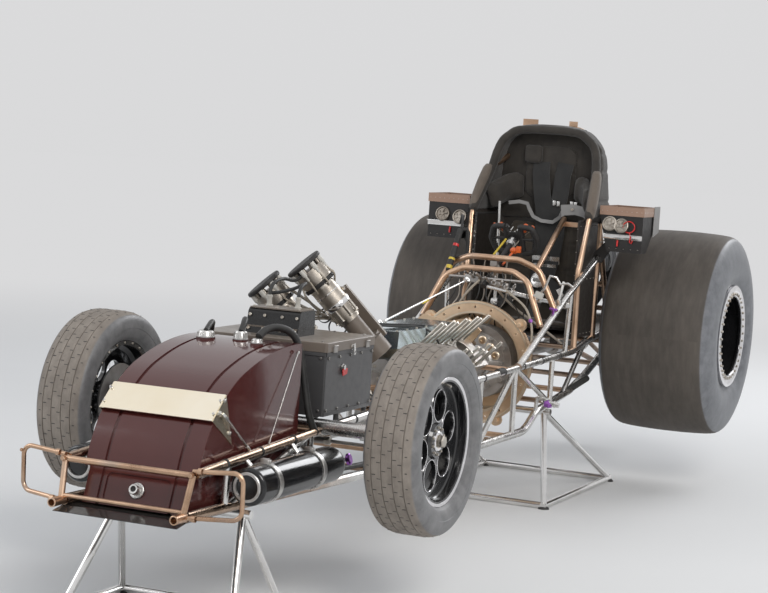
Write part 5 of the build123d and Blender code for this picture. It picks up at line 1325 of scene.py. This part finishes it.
lines("dash_cables", [[P(x, 2106, 760 if abs(x) < 112 else 752), P(x - 14 * (-1) ** k, 2116, 700),
    P(x + 20 * (-1) ** k, 2080, 610), P(x, 2030, 560), P(x - 30, 2000, 500)]
    for k, x in enumerate((-150, -96, -40, 10, 58))], 3.2, "mag_alloy")

# Hoses, wires and clips along the rails
runs, wires, lined, clips = [], [], [], Shape()
for side, _ in sides():
    runs.append(path("150 -110 190, 190 -40 160, 206 120 146, 232 520 140, 244 800 136, "
        "226 880 190, 150 905 260, 74 930 280"))
    lined.append(path("205 -760 240, 208 -400 258, 210 0 280, 240 800 318, 254 1275 336, "
        "254 1850 350, 254 2380 360, 232 2700 384, 228 3040 420, 262 3090 520"))
    for k in range(3):
        wires.append([P(side * (200 - 8 * k), 366, 400 - 20 * k),
            P(side * (216 - 5 * k), 430, 360 - 8 * k), P(side * (232 - 5 * k), 620, 318 - 3 * k),
            P(side * (250 - 5 * k), 1280, 338 - 3 * k), P(side * (251 - 5 * k), 1900, 352 - 3 * k),
            P(side * (250 - 5 * k), 2420, 366 - 3 * k), P(side * (222 - 4 * k), 2470, 410)])
    for k in range(14):
        s = -640 + 220 * k
        x = follow(((-818, 214), (0, 222), (1275, 270), (2400, 270)), s)
        h = follow(((-818, 257), (0, 300), (1275, 356), (2400, 380)), s)
        along_rail = Vector((0.01 * side, 1, 0.04)).normalized()
        clips.rod((P(side * x, s, h) - along_rail * 0.006, P(side * x, s, h) + along_rail * 0.006),
            15.4, 20, 0.6)
        clips.box(P(side * (x - 13), s, h - 14), (9, 6, 3.5), ((1, 0, 1), BACK, (-1, 0, 1)), 1)
lines("rail_hoses", runs, 9.5, "hose_black")
lines("brake_pipes", lined, 2.8, "steel")
lines("rail_wires", wires, 3.4, "hose_black")
piece("rail_clips", clips, "rubber_black")
ends = Shape()
for run in runs:
    for a, b in ((run[0], run[1]), (run[-1], run[-2])):
        way = (b - a).normalized()
        ends.lathe(a, way, "-10 0, -10 9, 0 9, 0 14, 14 14, 16 12, 40 12, 42 9.6, 42 0", 6)
for place in (P(291, 1960, 224), P(340, 1960, 208)):
    ends.lathe(place, (1, 0, -0.2), "-10 10, 10 10, 12 14, 20 14, 22 10, 34 10, 34 0", 18)
ends.rod("276 1960 226, 352 1960 204", 6.5, 14, 1)
ends.rod("271 1968 160, 279 1960 226", 8, 14, 1)
piece("hose_ends", ends, "nickel")
tape = Shape().rod("269 1497 363, 269 1557 365", 15.8, 24, 1)
tape.rod("268 2236 196, 268 2640 244", 13.5, 20, 3)
piece("rail_wraps", tape, "rubber_black")
weld = Shape()
for side, _ in sides():
    for place, axis, r in (("262 2440 388", (0, 0.05, 1), 15), ("226 2790 412", UP, 19),
            ("270 1724 368", (0.02, 0.9, 0.45), 16), ("260 1992 512", (-0.3, 0.1, 1), 15),
            ("276 2114 572", (-0.2, 0, 1), 15), ("176 3158 486", (0, 0.4, -1), 15)):
        weld.lathe(place, axis, [(-5, r - 2), (-4, r), (0, r + 1.2), (4, r), (5, r - 2)], 24)
piece("weld_collars", weld, "bronze_dark", angle=60)

# Bellhousing inside: cover plate and plugs behind the studs
plates = Shape().box("28 1702 435", (34, 4, 26), ((1, 0, 0.25), BACK, (-0.25, 0, 1)), 3)
for x, h in ((62, 482), (100, 458), (134, 432), (160, 400)):
    plates.lathe(P(x, 1762, h), -BACK, "0 17, 6 17, 8 14, 8 6, 5 5, 5 0", 28)
piece("bell_plates", plates, "bell_light", angle=35)

# Front brakes, kingpin nuts, rack details
def caliper(end, side, word, body, axle, way, up, blocks, caps):
    """Brake caliper of blocks at (across, out from the axle) with two round caps."""
    shape, way, up = Shape(), Vector(way).normalized(), Vector(up).normalized()
    for x, out, half, cut in blocks:
        shape.box(P(side * x, *axle) + way * out / 1000, half, (X, way, up), cut)
    x, out, apart, r, facing = caps
    for lift in (-apart, apart):
        shape.lathe(P(side * x, *axle) + (way * out + up * lift) / 1000, X * side * facing,
            [(0, r), (4, r), (6, r - 3), (6, 0)], 20)
    piece(f"{end}_caliper_{word}", shape, "box_grey", body, angle=35)


for side, word in sides():
    body = f"knuckle_{word}"
    t = math.radians(28)
    caliper("front", side, word, body, FRONT_AXLE, (0, math.cos(t), math.sin(t)),
        (0, -math.sin(t), math.cos(t)), ((519, 112, (10, 26, 52), 6), (553, 112, (7.5, 26, 52), 6),
        (535, 142.5, (26, 8, 34), 3), (503, 70, (6, 55, 16), 2)), (509, 112, 24, 14, -1))
    nuts = Shape()
    for h, way in ((311 + 56, 1), (311 - 56, -1)):
        nuts.lathe(P(side * 452, 0, h), (0, 0, way), "0 18, 3 18, 3 12, 11 12, 12 8, 12 0", 6)
        for s in (-16, 16):
            nuts.capscrew(P(side * 480, s, h), (0, 0, way), 4.5, 4)
    piece(f"kingpin_nuts_{word}", nuts, "stud", body)
    lines(f"brake_hose_{word}", ["498 78 368, 480 74 392, 462 60 398, 446 44 388"], 4.2,
        "hose_black", body)
    drive = Shape()
    drive.circle(CAP, "548 0 311", X * side, BACK, 36, 6, 3.5, 3)
    piece(f"disc_screws_{word}", drive, "stud", f"front_wheel_{word}_turning")
rack, moving = Shape(), Shape()
for side, _ in sides():
    rack.lathe("126 120 246.5", X * side, "-6 24, -6 29, 6 29, 9 24, 9 13", 32)
    rack.lathe("60 120 246.5", X * side, "-8 25, -8 28.5, 8 28.5, 8 25", 32)
    for t in (0.6, 2.2):
        rack.capscrew(P(side * 60, 120 + 28 * math.cos(t), 246.5 + 28 * math.sin(t)),
            (0, math.cos(t), math.sin(t)), 4.5, 5)
    moving.lathe("200 120 246.5", X * side, "-14 11, -14 14.5, 4 14.5, 8 9, 8 6", 6)
    moving.lathe("410 120 246.5", X * side, "0 6, 0 11, 12 11, 14 7.5, 34 7.5, 34 6", 6)
    moving.lathe("452 120 253.5", -UP, "14 16, 14 12, 20 12, 24 8, 24 0", 6)
rack.lathe("0 120 272", (0, -0.3, 1), "-6 18, 4 20, 10 20, 14 15, 14 0", 28)
piece("rack_trim", rack, "box_grey", angle=35)
piece("rack_nuts", moving, "stud", "rack_bar")

# Rear brakes, axle cover bolts, wheelie wheel bolts and stand feet
for side, word in sides():
    caliper("rear", side, word, "chassis", REAR_AXLE, (0, -0.72, 0.69), (0, -0.69, -0.72),
        ((281, 120, (11.5, 30, 64), 6), (319, 120, (11.5, 30, 64), 6), (300, 154, (30, 8, 44), 3),
        (252, 92, (22, 40, 18), 3)), (330, 118, 30, 16, 1))
    bolts = Shape().circle(CAP, "233 3175 442", X * side, BACK, 62, 8, 5, 6, start=0.2)
    bolts.circle(NUT, "75 3175 442", X * side, BACK, 116, 12, 6, 5)
    piece(f"axle_bolts_{word}", bolts, "stud")
    bolts = Shape().circle(NUT, "122 4178 96", X * side, BACK, 22, 5, 4, 3)
    piece(f"wheelie_bolts_{word}", bolts, "stud", "wheelie_wheel_pair")
    pads = Shape()
    for s, x in ((-690, 290), (-330, 290), (2075, 300), (2960, 300)):
        pads.lathe(P(side * x, s, -250), UP, "0 0, 0 24, 6 22, 10 17, 10 0", 24)
    piece(f"stand_feet_{word}", pads, "rubber_black", angle=35)
